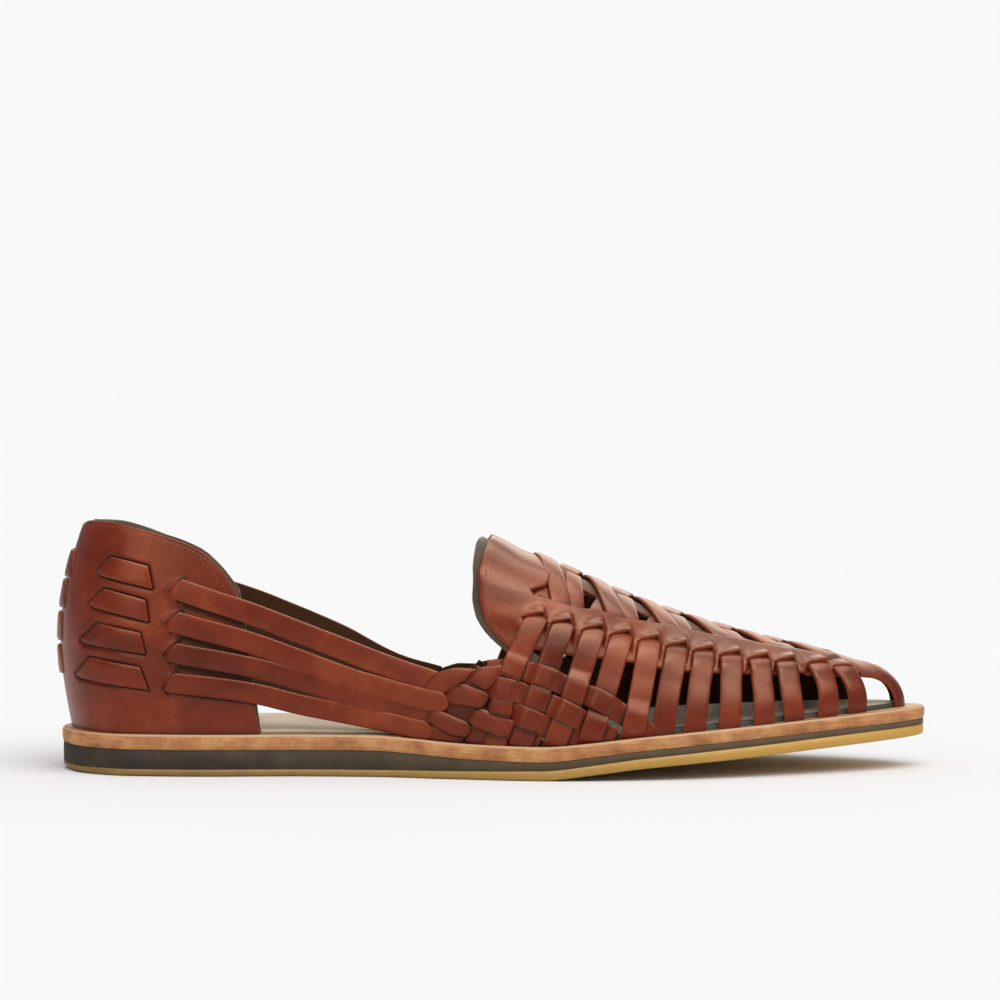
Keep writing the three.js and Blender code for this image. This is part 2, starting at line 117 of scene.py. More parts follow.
def folded(side, turn, lift):
    side, turn, lift = (np.array(v, float) for v in np.broadcast_arrays(side, turn, lift))
    over = lift > 1
    side, lift = np.where(over, -side, side), np.where(over, 2 - lift, lift)
    back = turn < 0
    side, turn = np.where(back, -side, side), np.abs(turn)
    front = turn > math.pi
    return np.where(front, -side, side), np.where(front, 2 * math.pi - turn, turn), lift


def footPoint(side, turn, lift):
    side, turn, lift = folded(side, turn, lift)
    degrees = np.degrees(turn)
    around = np.where(side > 0, turn, 2 * math.pi - turn)
    inset = rib["Inset"](degrees)
    foot = insetPoint(around, inset)
    topAt = rib["TopAt"](degrees)
    top = np.stack([topAt, swing(topAt) - side * rib["TopOut"](degrees)], axis=-1)
    height = np.sin(lift * math.pi / 2)
    domed = 1 - np.sqrt(np.maximum(1 - height * height, 0))
    dome = rib["Dome"](degrees)
    flat = foot + (top - foot) * (dome * domed + (1 - dome) * height)[..., None]
    flat += (insetPoint(around, inset - 1) - foot) * (rib["Swell"](degrees) * np.sin(math.pi * height))[..., None]
    base = stackTop(foot[..., 0], 3) + form["joinGap"]
    rise = base + (crestRise(topAt) - base) * height
    return np.stack([flat[..., 0] - form["middle"], flat[..., 1], rise], axis=-1)


def footNormal(side, turn, lift):
    step = 0.004
    side, turn, lift = folded(side, turn, lift)
    lift = np.minimum(np.maximum(lift, step), np.where(turn > math.pi - 0.1, 0.97, 2))
    around = footPoint(side, turn + step, lift) - footPoint(side, turn - step, lift)
    up = footPoint(side, turn, lift + step) - footPoint(side, turn, lift - step)
    return unit(np.cross(up, around) * -side[..., None])


def raised(side, turn, lift, *heights):      # the faces at these heights off the form
    base, normal = footPoint(side, turn, lift), footNormal(side, turn, lift)
    return tuple(base + normal * (height + 0 * turn)[..., None] for height in heights)


def layOf(*values):      # the material's own coordinates: along, across and a number for the piece
    return np.stack(np.broadcast_arrays(*values), axis=-1).astype(float)


def folding(lift):      # the lift measured from its own side, for a line that goes over the crest
    return np.where(lift > 1, 2 - lift, lift)


def unit(vectors, least=0.0):
    return vectors / np.maximum(np.linalg.norm(vectors, axis=-1, keepdims=True), least)


def runOf(points):      # length along a line of points
    return np.concatenate([[0], np.cumsum(np.linalg.norm(np.diff(points, axis=0), axis=1))])


def placeOf(side, at, rise):      # turn and lift of the places at these distances and heights
    at, rise = np.asarray(at, float), np.asarray(rise, float)
    turn = np.arccos(1 - 2 * at / form["length"])
    lift = np.full_like(turn, 0.5)
    step = 0.01
    for _ in range(40):
        here = footPoint(side, turn, lift)
        slopeTurn = (footPoint(side, turn + step, lift) - here)[..., 0] / step
        slopeLift = (footPoint(side, turn, lift + step) - here)[..., 2] / step
        turn = turn + np.clip((at - form["middle"] - here[..., 0]) / slopeTurn, -0.1, 0.1)
        lift = lift + np.clip((rise - here[..., 2]) / slopeLift, -0.1, 0.1)
        turn, lift = np.clip(turn, 0.02, math.pi - 0.02), np.clip(lift, -0.05, 0.98)
    return turn, lift


def liftAt(side, turn, rise):
    low, high = footPoint(side, turn, 0.0)[..., 2], footPoint(side, turn, 1.0)[..., 2]
    return np.arcsin(np.clip((rise - low) / (high - low), 0, 1)) * 2 / math.pi


def smooth(x, low, high):
    t = np.clip((x - low) / (high - low), 0, 1)
    return t * t * (3 - 2 * t)


def bell(distance, width, power=2):
    return np.exp(-(distance / width) ** power)


print("foot form ready")


# Every leather piece is a skin: an outer and an inner face joined by rounded walls along their open edges.
skinWall = {"depths": [0.16, 0.5, 0.84], "bulges": [0.75, 1.0, 0.75]}


def gridFaces(rows, columns, keep=None, flip=False):
    r, c = np.meshgrid(np.arange(rows - 1), np.arange(columns - 1), indexing="ij")
    a = r * columns + c
    faces = np.stack([a, a + columns, a + columns + 1, a + 1], axis=-1)
    faces = faces[keep] if keep is not None else faces.reshape(-1, 4)
    return faces[:, ::-1] if flip else faces


def joinSkins(skins):      # each is (outer face, inner face, faces, lay) and, where it has painted shade, that shade
    count, parts = 0, []
    for outside, inside, faces, lay, *shade in skins:
        size = outside.reshape(-1, 3).shape[0]
        shade = shade[0].ravel() if shade else np.zeros(size)
        parts.append((outside.reshape(-1, 3), inside.reshape(-1, 3), faces + count, lay.reshape(-1, 3), shade))
        count += size
    return tuple(np.concatenate(group) for group in zip(*parts))


def makeMesh(name, points, faces, attributes, material, slot):
    mesh = bpy.data.meshes.new(name)
    corners = [[v for i, v in enumerate(face) if v not in face[:i]] for face in faces.tolist()]
    mesh.from_pydata((points * mm).tolist(), [], corners)
    mesh.validate()
    for key, values in attributes.items():
        kind = "FLOAT" if values.ndim == 1 else "FLOAT_VECTOR"
        layer = mesh.attributes.new(key, kind, "POINT")
        layer.data.foreach_set("value" if values.ndim == 1 else "vector", values.astype(np.float32).ravel())
    mesh.polygons.foreach_set("use_smooth", np.ones(len(mesh.polygons), bool))
    mesh.materials.append(material)
    piece = bpy.data.objects.new(name, mesh)
    bpy.context.scene.collection.objects.link(piece)
    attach(piece, "root")
    return piece


def makeSkin(name, skins, material, edgeRound=0.16):      # edgeRound is how far its cut edges bulge
    outside, inside, faces, lay, shade = joinSkins(skins)
    _, first, back = np.unique(np.round(outside, 3), axis=0, return_index=True, return_inverse=True)
    faces = back.reshape(-1)[faces]
    outside, inside, lay, shade = outside[first], inside[first], lay[first], shade[first]
    count = len(first)
    starts, ends = faces.reshape(-1), np.roll(faces, -1, axis=1).reshape(-1)
    real = starts != ends
    starts, ends = starts[real], ends[real]
    alone = ~np.isin(starts * count + ends, ends * count + starts)      # edges of one face only
    a, b = starts[alone], ends[alone]
    normal, out = unit(outside - inside, 1e-9), np.zeros_like(outside)
    for here in (a, b):
        np.add.at(out, here, np.cross(outside[b] - outside[a], normal[here]))
    edge = np.unique(np.concatenate([a, b]))
    out = unit(out[edge], 1e-9)
    place = np.zeros(count, int)
    place[edge] = np.arange(len(edge))
    points, depth, lays, shades = [outside, inside], [np.zeros(count), np.ones(count)], [lay, lay], [shade, shade * 0]
    loops = [(a, b)]
    for index, (share, bulge) in enumerate(zip(skinWall["depths"], skinWall["bulges"])):
        ring = 2 * count + index * len(edge)
        loops.append((ring + place[a], ring + place[b]))
        points.append(outside[edge] * (1 - share) + inside[edge] * share + out * bulge * edgeRound)
        depth.append(np.full(len(edge), share))
        lays.append(lay[edge])
        shades.append(shade[edge])
    loops.append((count + a, count + b))
    walls = [np.stack([q[1], q[0], r[0], r[1]], axis=1) for q, r in zip(loops[:-1], loops[1:])]
    faces = np.concatenate([faces, faces[:, ::-1] + count] + walls)
    points, depth, lays, shades = (np.concatenate(rows) for rows in (points, depth, lays, shades))
    return makeMesh(name, points, faces, {"depth": depth, "lay": lays, "shade": shades}, material, "upper_leather")


# A route is a line of places on the form, read by its length in millimetres.
def layRoute(side, turns, lifts, spacing=0.6):
    marks = np.column_stack([turns, lifts]).astype(float)
    chord = runOf(footPoint(side, marks[:, 0], marks[:, 1]))
    slopes = np.gradient(marks, chord, axis=0)
    fine = np.linspace(0, chord[-1], 300)
    i = np.clip(np.searchsorted(chord, fine) - 1, 0, len(chord) - 2)
    span = (chord[i + 1] - chord[i])[:, None]
    t = (fine - chord[i])[:, None] / span
    dense = (marks[i] * (1 + 2 * t) * (1 - t) ** 2 + marks[i + 1] * t * t * (3 - 2 * t)
             + span * (slopes[i] * t * (1 - t) ** 2 + slopes[i + 1] * t * t * (t - 1)))
    run = runOf(footPoint(side, dense[:, 0], dense[:, 1]))
    even = np.linspace(0, run[-1], max(5, int(run[-1] / spacing) + 1))
    turn, lift = np.interp(even, run, dense[:, 0]), np.interp(even, run, dense[:, 1])
    centre, normal = footPoint(side, turn, lift), footNormal(side, turn, lift)
    across = unit(np.cross(normal, unit(np.gradient(centre, even, axis=0))))
    return {"side": side, "run": even, "turn": turn, "lift": lift,
            "centre": centre, "normal": normal, "across": across}


def readRoute(route, s, *keys):      # the route's rows at these lengths
    return (np.stack([np.interp(s, route["run"], route[key][:, k]) for k in range(3)], axis=-1) for key in keys)


strapProfile = {
    "across": [-1, -0.9, -0.72, -0.4, 0, 0.4, 0.72, 0.9, 1],
    "edgeDrop": 0.2,      # how far the outer face falls away at its edges
    "crown": 0.12,
}


def strapSkin(route, width, height, thickness, seed, ends=(None, None), fade=9, tilt=0.0, shade=0.0):
    u, run, side = np.array(strapProfile["across"]), route["run"], route["side"]
    s = np.repeat(run[:, None], len(u), axis=1)
    for shape, left, way in zip(ends, (run, run[-1] - run), (1, -1)):      # the cut shapes of the two ends
        if shape is not None:
            s = s + way * shape(u * side)[None] * np.clip(1 - left / fade, 0, 1)[:, None]
    centre, normal, across = readRoute(route, s, "centre", "normal", "across")
    given = (np.interp(s, run, np.broadcast_to(value, run.shape)) for value in (width / 2, height, tilt, shade))
    half, low, lean, shade = given
    low = low - side * u[None] * lean
    drop = strapProfile["edgeDrop"] * np.abs(u) ** 8 + strapProfile["crown"] * u * u
    flat = centre + across * (half * u)[..., None]
    outside = flat + normal * (low + thickness - drop)[..., None]
    return outside, flat + normal * low[..., None], gridFaces(*s.shape), layOf(s, half * u, seed), shade


def turnAt(side, at, lift):      # the turn of the place on this lift that is this far from the heel end
    turns = np.radians(np.linspace(20, 178, 400))
    return np.interp(at, footPoint(side, turns, np.full_like(turns, lift))[:, 0] + form["middle"], turns)


print("skin and strap makers ready")

# Side strips, from the sole up over the vamp's margin and in through its slits. Strip 0 is the collar strap's
# lower end.
strips = {
    # turns of each strip at its slit, low on the side, and at the sole, in degrees
    "topTurns": [95.5, 99.1, 103.3, 107.2, 111.2, 115.3, 119.4, 123.7, 128.6, 133.6, 140.6, 147.0],
    "lowTurns": [91.2, 95.6, 100.1, 104.3, 109.3, 113.3, 117.9, 123.0, 128.6, 133.6, 141.0, 148.1],
    "footTurns": [89.8, 92.8, 97.2, 102.0, 107.8, 112.4, 117.2, 122.6, 128.4, 134.0, 140.7, 147.9],
    "footLift": -0.03, "lowLift": 0.17,
    "width": 7.1, "firstWidth": 9.1, "thickness": 1.6,
    "footHeight": 0.25, "marginHeight": 1.15, "tuckHeight": 0.5,
    "hidden": 0.13,      # lift that each strip runs on under the rail
    "tilt": 0.35,        # a strip's front edge stands higher than its rear one at the slit
    "frontTurns": (128, 140),      # forward of these the strips stand free, bowed out by
    "bow": 0.9,
    "bend": 0.35, "bendBelow": 0.05, "bendReach": 0.06,      # the others bend in just below the slit
    # lifts from the margin or the slit between which a strip rises, goes in, tilts and darkens
    "onMargin": (-0.1, 0.02), "goesIn": (0.02, 0.1), "tilts": (-0.12, -0.01), "darkens": (0.005, 0.045),
    "firstRoute": [(130.4, 10), (132, 16), (134.7, 22.1), (137.6, 27), (141.3, 31.3), (143.4, 34)],
    "innerShift": ([128.6, 133.6, 140.6, 147], [0, 1.2, -1.5, -0.6]),      # the inner side's strips close up at the toe
    "innerWidth": 8.8,
}
slitLine = curveThrough([92, 95.5, 99, 103.3, 107, 111, 115, 119, 124, 128.6, 133.6, 140.6, 147, 151.3],
                        [0.455, 0.458, 0.458, 0.468, 0.48, 0.49, 0.495, 0.5, 0.507, 0.522, 0.532, 0.545, 0.525, 0.455])
marginLine = curveThrough([92.8, 96, 100, 104.5, 108.3, 112.5, 121, 125.6, 135.7, 147, 152],
                          [0.325, 0.351, 0.352, 0.366, 0.374, 0.366, 0.388, 0.41, 0.452, 0.47, 0.475])

# Quarter straps, from the counter forward and down through the strips. Rows are (distance from the heel, height).
quarter = {
    "thickness": 1.6,
    "lift": 0.25, "over": 1.75,      # height off the form, and how much higher a strap lies over a strip
    "reach": 6.4, "stripReach": 7.6,      # half the length of one rise over a crossing
    # painted shade beside a strap that crosses over: its width in millimetres and how dark it is
    "foldWidth": 1.5, "foldShade": 0.85,
    "meeting": 2.5,      # centre lines this close are a crossing
    "counterHeight": 2.45, "innerSag": 4.0,
    "rear": {      # from the counter to the weave
        "first": (6.9, [(36, 63.2), (61, 54.6), (91, 43.4), (112, 35.6), (126, 31.2)]),
        "second": (6.8, [(35, 52.3), (63, 44.4), (81, 38), (102, 30.7), (120, 26.2), (130.8, 24.2)]),
        "third": (6.4, [(34.5, 41.9), (65, 35.9), (86, 30), (101, 25.2), (118, 21.4), (125, 20.4)]),
        "fourth": (6.4, [(34, 31.7), (64, 27.7), (81, 23.5), (98, 20.2), (114, 17), (125.6, 14.6)]),
    },
    "rearHeight": {"first": 0.3, "second": 1.3, "third": 0.1, "fourth": 1.2},
    "front": {      # forward of the loose tiles, down through the strips
        "collar": (6.6, [(143, 35.2), (152, 35.6), (162, 32.9), (171, 29.2), (180, 25.2), (189, 19.8), (196.5, 14.2)]),
        "first": (6.9, [(142.5, 30.2), (149, 29.2), (168, 22.2), (184, 13.6)]),
        "second": (6.8, [(143.5, 24.2), (156, 20), (172.5, 13)]),
        "third": (6.4, [(146, 17.9), (152, 15.6), (160, 12)]),
        "fourth": (6.4, [(137, 14.8), (148, 11.6)]),
    },
}
# The loosest part of the weave, piece by piece: height off the form and outline, as (distance from the heel, height)
tiles = [
    (1.0, [(121.6, 29.4), (128.6, 26.9), (135.8, 31.2), (138.4, 33.4), (140, 35.5), (132.5, 35.9), (126, 33.9)]),
    (1.9, [(130, 27.3), (131.2, 24.4), (141.6, 22.8), (143.9, 26.4), (142.9, 28.4), (135.6, 30.9), (131.4, 29)]),
    (2.1, [(137, 31.9), (143, 28.7), (146, 31.3), (148.4, 34.4), (148, 36.9), (141.4, 36), (139.2, 34.9)]),
    (2.0, [(137, 19.4), (139.4, 16.6), (148.4, 14.2), (151, 16.8), (150.8, 18.9), (142, 23), (138.6, 22)]),
    (2.0, [(123.8, 19.6), (126, 17.3), (131.4, 14), (136.6, 13.6), (138.5, 16), (137, 18.6), (128.4, 21.9),
           (124.9, 21.3)]),
    (0.5, [(122, 18), (122, 11.6), (128, 11.3), (135, 11), (134.6, 14.6), (128, 17)]),
]


def stripRoutes(side):
    routes = [layThrough(side, strips["firstRoute"])]
    for top, low, foot in zip(strips["topTurns"], strips["lowTurns"], strips["footTurns"]):
        moved = float(np.interp(top, *strips["innerShift"])) if side == inner else 0.0
        slit = float(slitLine(top + moved))
        lifts = [strips["footLift"], strips["lowLift"], slit, slit + strips["hidden"]]
        turns = [foot, low, top, top + (top - low) * strips["hidden"] / (slit - strips["lowLift"])]
        routes.append(layRoute(side, np.radians(np.add(turns, moved)), lifts))
    return routes


def sagged(side, at, rise):      # the inner side's top line hangs a little lower
    sag = quarter["innerSag"] * smooth(at, 80, 118) * (1 - smooth(at, 152, 164)) * smooth(rise, 24, 33)
    return rise - sag * (side == inner)


def layThrough(side, line):
    at, rise = np.array(line).T
    return layRoute(side, *placeOf(side, at, sagged(side, at, rise)))


def strapRoutes(side, part):      # the inner side's collar strap starts one place further on
    return [layThrough(side, line[1:] if side == inner and name == "collar" else line)
            for name, (width, line) in quarter[part].items()]


def crossings(strapLines, stripLines):      # (strap, strip, run along the strap, run along the strip)
    found = []
    for i, strap in enumerate(strapLines):
        for j, strip in enumerate(stripLines):
            gaps = np.linalg.norm(strap["centre"][:, None] - strip["centre"][None], axis=2)
            a, b = np.unravel_index(np.argmin(gaps), gaps.shape)
            if gaps[a, b] < quarter["meeting"] and strip["run"][b] > 0.5 and j > 0:
                found.append((i, j, strap["run"][a], strip["run"][b]))
    return found


def near(run, places, within, beyond):      # 1 close to any of the places, 0 further off
    share = np.zeros_like(run)
    for place in places:
        share = np.maximum(share, 1 - smooth(np.abs(run - place), within, beyond))
    return share


def rises(run, places, reach, flat):      # how far a strap has risen over the ones it crosses
    return quarter["over"] * near(run, places, flat * reach, reach)


def paintedShadeBeside(run, places, half):      # painted shade beside a strap that crosses over
    return quarter["foldShade"] * near(run, places, half, half + quarter["foldWidth"])


weave = {}
for sideName, side in sides.items():
    stripLines, strapLines = stripRoutes(side), strapRoutes(side, "front")
    met = crossings(strapLines, stripLines)
    weave[side] = {"strips": stripLines, "straps": strapLines, "rear": strapRoutes(side, "rear"), "met": met}
    print(sideName, "crossings", len(met))

# Short ways to place shader nodes. Leather grain and cut edges are groups, each built once for every material.
def join(node, inputs):
    for key, value in inputs.items():
        if isinstance(value, bpy.types.NodeSocket):
            node.id_data.links.new(value, node.inputs[key])
        else:
            node.inputs[key].default_value = value


def nodeTools(tree):
    def add(kind, inputs=None, **settings):
        node = tree.nodes.new(kind)
        for key, value in settings.items():
            setattr(node, key, value)
        join(node, inputs or {})
        return node
    return add


def startGroup(name, inputs, outputs):      # a node group whose sockets are all plain numbers
    tree = bpy.data.node_groups.new(name, "ShaderNodeTree")
    for label, value in inputs.items():
        socket = tree.interface.new_socket(label, in_out="INPUT", socket_type="NodeSocketFloat")
        socket.default_value = value
    for label in outputs:
        tree.interface.new_socket(label, in_out="OUTPUT", socket_type="NodeSocketFloat")
    add = nodeTools(tree)
    return tree, add, add("NodeGroupInput").outputs, add("NodeGroupOutput")


def shaderColour(colour):      # from (red, green, blue) up to 255, or from a plain shade
    if not isinstance(colour, tuple):
        return (colour, colour, colour, 1)
    return tuple(c / 255 / 12.92 if c <= 10 else ((c / 255 + 0.055) / 1.055) ** 2.4 for c in colour) + (1.0,)


def ramp(add, fac, stops):
    node = add("ShaderNodeValToRGB", {"Fac": fac})
    elements = node.color_ramp.elements
    while len(elements) < len(stops):
        elements.new(0.5)
    for element, (position, colour) in zip(elements, stops):
        element.position, element.color = position, shaderColour(colour)
    return node.outputs["Color"]


def reckon(add, operation, a, b, clamp=False):
    return add("ShaderNodeMath", {0: a, 1: b}, operation=operation, use_clamp=clamp).outputs[0]


def weighted(add, *terms):      # the sum of values, each with its share
    parts = [reckon(add, "MULTIPLY", value, share) for value, share in terms]
    total = parts[0]
    for part in parts[1:]:
        total = reckon(add, "ADD", total, part)
    return total


def laidOver(add, mask, share, under, colour):      # a colour over another one, as far as the mask and its share go
    node = add("ShaderNodeMix", data_type="RGBA", blend_type="MIX")
    join(node, {0: reckon(add, "MULTIPLY", mask, share), 6: under, 7: shaderColour(colour)})
    return node.outputs[2]


def noise(add, where, scale, detail=2.0, roughness=0.5, distortion=0.0):
    return add("ShaderNodeTexNoise", {"Vector": where, "Scale": scale, "Detail": detail, "Roughness": roughness,
                                      "Distortion": distortion}).outputs["Fac"]


def cells(add, where, scale):
    return add("ShaderNodeTexVoronoi", {"Vector": where, "Scale": scale}).outputs["Distance"]


def stretched(add, where, **settings):
    return add("ShaderNodeMapping", {"Vector": where, **settings}).outputs["Vector"]


def axisOf(add, vector, axis):
    return add("ShaderNodeSeparateXYZ", {"Vector": vector}).outputs[axis]


def between(add, value, low, high, **settings):      # 0 at low, 1 at high
    return add("ShaderNodeMapRange", {"Value": value, "From Min": low, "From Max": high}, **settings).outputs["Result"]


def attribute(add, name, output="Fac"):
    return add("ShaderNodeAttribute", attribute_name=name).outputs[output]


def partSpace(add):
    return add("ShaderNodeTexCoord").outputs["Object"]


def leatherGrainGroup():      # fine pores and creases of a smooth leather
    scales = {"Pore Scale": 900.0, "Crease Scale": 160.0}
    tree, add, given, out = startGroup("leatherGrain", scales, ("Height", "Mottle"))
    where = partSpace(add)
    pores, crease = cells(add, where, given["Pore Scale"]), noise(add, where, given["Crease Scale"], 6.0, 0.62)
    join(out, {"Height": weighted(add, (pores, 0.35), (crease, 0.9)),
               "Mottle": noise(add, where, 38.0, 5.0, 0.6, 0.4)})
    return tree


def cutEdgeGroup():      # where a skin's thickness shows: its cut edge and its flesh side, and the top rim of each edge for a painted highlight
    tree, add, given, out = startGroup("cutEdge", {"Raggedness": 0.5}, ("Cut", "Flesh", "Rim"))
    depth = attribute(add, "depth")
    rag = reckon(add, "SUBTRACT", noise(add, partSpace(add), 700.0, 3.0), 0.5)
    rag = reckon(add, "MULTIPLY", rag, reckon(add, "MULTIPLY", given["Raggedness"], 0.3))
    moved = reckon(add, "ADD", depth, rag)
    join(out, {"Cut": ramp(add, moved, [(0.1, 0.0), (0.3, 1.0), (0.86, 1.0), (0.97, 0.0)]),
               "Flesh": ramp(add, moved, [(0.86, 0.0), (0.96, 1.0)]),
               "Rim": ramp(add, depth, [(0.0, 0.0), (0.04, 0.7), (0.14, 1.0), (0.35, 0.0)])})
    return tree


grainGroup, edgeGroup = leatherGrainGroup(), cutEdgeGroup()


def shared(add, group):
    return add("ShaderNodeGroup", node_tree=group).outputs


def makeMaterial(name, surface, look):      # surface gives inputs and a bump: height, strength, distance
    material = bpy.data.materials.new(name)
    material.use_nodes = True
    add = nodeTools(material.node_tree)
    inputs, bump = surface(add, look)
    if bump:
        inputs["Normal"] = add("ShaderNodeBump", dict(zip(("Height", "Strength", "Distance"), bump))).outputs["Normal"]
    join(material.node_tree.nodes["Principled BSDF"], inputs)
    return material


bumpDeep = 0.0002      # in metres, where a finish has no depth of its own
upperLook = {
    # the palest tone also colours the top rim of every cut edge, a painted highlight
    "deep": (80, 17, 6), "warm": (116, 34, 15), "rubbed": (158, 70, 36),
    # the last colour on the next line is painted shade
    "cut": (150, 78, 46), "flesh": (66, 36, 20), "fold": (20, 4, 1),
    "shares": {"Rim": 0.55, "Cut": 0.8, "Flesh": 1.0, "fold": 0.92},
    "roughness": (0.26, 0.46), "rawRoughness": 0.85, "bump": 0.28, "bumpDeep": 0.00025, "specular": 0.45,
    "coat": 0.04, "coatRoughness": 0.22, "specularTint": (1.0, 0.72, 0.5, 1.0),
}
counterLook = dict(upperLook, cut=(196, 146, 104))


def upperLeather(add, look):
    grain, edge = shared(add, grainGroup), shared(add, edgeGroup)
    lay, fold, share = attribute(add, "lay", "Vector"), attribute(add, "shade"), look["shares"]
    streak = noise(add, stretched(add, lay, Scale=(0.25, 1.6, 40.0)), 1.0, 5.0, 0.65)
    own = add("ShaderNodeTexWhiteNoise", {"W": axisOf(add, lay, "Z")}, noise_dimensions="1D").outputs["Value"]
    tone = weighted(add, (grain["Mottle"], 0.9), (streak, 0.12), (reckon(add, "SUBTRACT", own, 0.5), 0.16))
    colour = ramp(add, tone, [(0.32, look["deep"]), (0.56, look["warm"]), (0.86, look["rubbed"])])
    # a painted highlight along the top rim of every cut edge
    colour = laidOver(add, edge["Rim"], share["Rim"], colour, look["rubbed"])
    colour = laidOver(add, edge["Cut"], share["Cut"], colour, look["cut"])
    colour = laidOver(add, edge["Flesh"], share["Flesh"], colour, look["flesh"])
    # painted shade, laid over the colour where the shade attribute says
    colour = laidOver(add, fold, share["fold"], colour, look["fold"])
    smoothest, roughest = look["roughness"]
    rough = reckon(add, "ADD", smoothest, reckon(add, "MULTIPLY", tone, roughest - smoothest))
    raw = reckon(add, "MAXIMUM", reckon(add, "MAXIMUM", edge["Cut"], edge["Flesh"]), fold)
    rough = reckon(add, "MAXIMUM", rough, reckon(add, "MULTIPLY", raw, look["rawRoughness"]))
    coat = reckon(add, "MULTIPLY", reckon(add, "SUBTRACT", 1.0, raw, True), look["coat"])
    inputs = {"Base Color": colour, "Roughness": rough, "Coat Weight": coat, "Coat Roughness": look["coatRoughness"],
              "Specular Tint": look["specularTint"], "Specular IOR Level": look["specular"]}
    return inputs, (weighted(add, (grain["Height"], 1.0), (streak, 0.2)), look["bump"], look["bumpDeep"])


suedeLook = {"dark": (48, 34, 18), "light": (92, 70, 42), "cut": (172, 134, 92), "nap": 1500.0, "brushed": 60.0,
             "cutShare": 0.8, "roughness": 0.92, "sheen": 0.35, "sheenRoughness": 0.5, "bump": 0.5}


def suede(add, look):
    where = partSpace(add)
    nap, brushed = noise(add, where, look["nap"], 4.0, 0.7), noise(add, where, look["brushed"], 5.0)
    colour = ramp(add, weighted(add, (nap, 0.5), (brushed, 0.5)), [(0.35, look["dark"]), (0.68, look["light"])])
    inputs = {"Base Color": laidOver(add, shared(add, edgeGroup)["Cut"], look["cutShare"], colour, look["cut"]),
              "Roughness": look["roughness"], "Sheen Weight": look["sheen"], "Sheen Roughness": look["sheenRoughness"]}
    return inputs, (nap, look["bump"], bumpDeep)


threadLook = {"light": (176, 98, 60), "dark": (109, 60, 37), "roughness": 0.6, "bump": 0.5, "twist": 0.7}


def twistedThread(add, look):
    twist = stretched(add, attribute(add, "lay", "Vector"), Rotation=(0, 0, look["twist"]))
    ply = add("ShaderNodeTexWave", {"Vector": twist, "Scale": 1.1, "Distortion": 0.6}).outputs["Fac"]
    colour = ramp(add, ply, [(0.2, look["dark"]), (0.8, look["light"])])
    return {"Base Color": colour, "Roughness": look["roughness"]}, (ply, look["bump"], bumpDeep)


boardLook = {"light": (212, 162, 102), "middle": (184, 122, 70), "dark": (146, 84, 44), "top": (196, 158, 116),
             "fibres": (90.0, 90.0, 1600.0), "roughness": 0.62, "bump": 0.45, "bumpDeep": 0.0004}


def soleBoard(add, look):      # mottled cut edge with fine layers, and a paler top corner and top face: partly a burnished finish, partly a painted highlight
    where = partSpace(add)
    upness = axisOf(add, attribute(add, "lay", "Vector"), "Z")      # 0 on the edge's underside, 1 on the top face
    blotch = noise(add, where, 120.0, 8.0, 0.72)
    fibre = noise(add, stretched(add, where, Scale=look["fibres"]), 1.0, 5.0, 0.7)
    tone = weighted(add, (blotch, 0.65), (fibre, 0.35))
    colour = ramp(add, tone, [(0.36, look["dark"]), (0.5, look["middle"]), (0.66, look["light"])])
    # the paler top: partly burnished, partly a painted highlight
    colour = laidOver(add, ramp(add, upness, [(0.62, 0.0), (0.78, 1.0)]), 1.0, colour, look["top"])
    return {"Base Color": colour, "Roughness": look["roughness"]}, (tone, look["bump"], look["bumpDeep"])


# Foam and rubber: noise for the dust on them, where along the sole they turn lighter, and the size of their cells
foamLook = {"dark": (44, 36, 24), "light": (98, 78, 50), "stops": (0.25, 0.85), "dust": (90.0, 7.0),
            "along": (-0.12, 0.14), "shares": (0.6, 0.5), "cells": 1500.0, "roughness": 0.8, "bump": 0.35}
rubberLook = {"dark": (128, 98, 42), "light": (194, 148, 60), "stops": (0.2, 0.8), "dust": (140.0, 8.0, 0.65),
              "along": (-0.1, 0.12), "shares": (0.45, 0.6), "cells": 2200.0, "roughness": 0.5, "bump": 0.25}


def mouldedLayer(add, look):
    where = partSpace(add)
    dust, along = noise(add, where, *look["dust"]), between(add, axisOf(add, where, "X"), *look["along"])
    tone = weighted(add, *zip((dust, along), look["shares"]))
    colour = ramp(add, tone, list(zip(look["stops"], (look["dark"], look["light"]))))
    height = reckon(add, "ADD", cells(add, where, look["cells"]), dust)
    return {"Base Color": colour, "Roughness": look["roughness"]}, (height, look["bump"], bumpDeep)


sockLook = {"light": (218, 202, 176), "dark": (194, 174, 146), "roughness": 0.6, "bump": 0.3,
            "worn": (60, 54, 43), "wear": (110.0, 165.0)}      # painted shade from here to here along the sole, full towards the toe


def sockLeather(add, look):      # painted shade towards the toe, where the sole lies under the weave
    grain = shared(add, grainGroup)
    at = axisOf(add, attribute(add, "lay", "Vector"), "X")
    # painted shade, from none to full between these distances from the heel
    worn = between(add, at, *look["wear"], interpolation_type="SMOOTHSTEP")
    colour = ramp(add, grain["Mottle"], [(0.35, look["dark"]), (0.65, look["light"])])
    inputs = {"Base Color": laidOver(add, worn, 1.0, colour, look["worn"]), "Roughness": look["roughness"]}
    return inputs, (grain["Height"], look["bump"], bumpDeep)


brownLeather = makeMaterial("brownLeather", upperLeather, upperLook)
counterLeather = makeMaterial("counterLeather", upperLeather, counterLook)
lining = makeMaterial("suedeLining", suede, suedeLook)
orangeThread = makeMaterial("orangeThread", twistedThread, threadLook)
boardLeather = makeMaterial("boardLeather", soleBoard, boardLook)
darkFoam = makeMaterial("darkFoam", mouldedLayer, foamLook)
honeyRubber = makeMaterial("honeyRubber", mouldedLayer, rubberLook)
creamSock = makeMaterial("creamSock", sockLeather, sockLook)
print("materials ready")

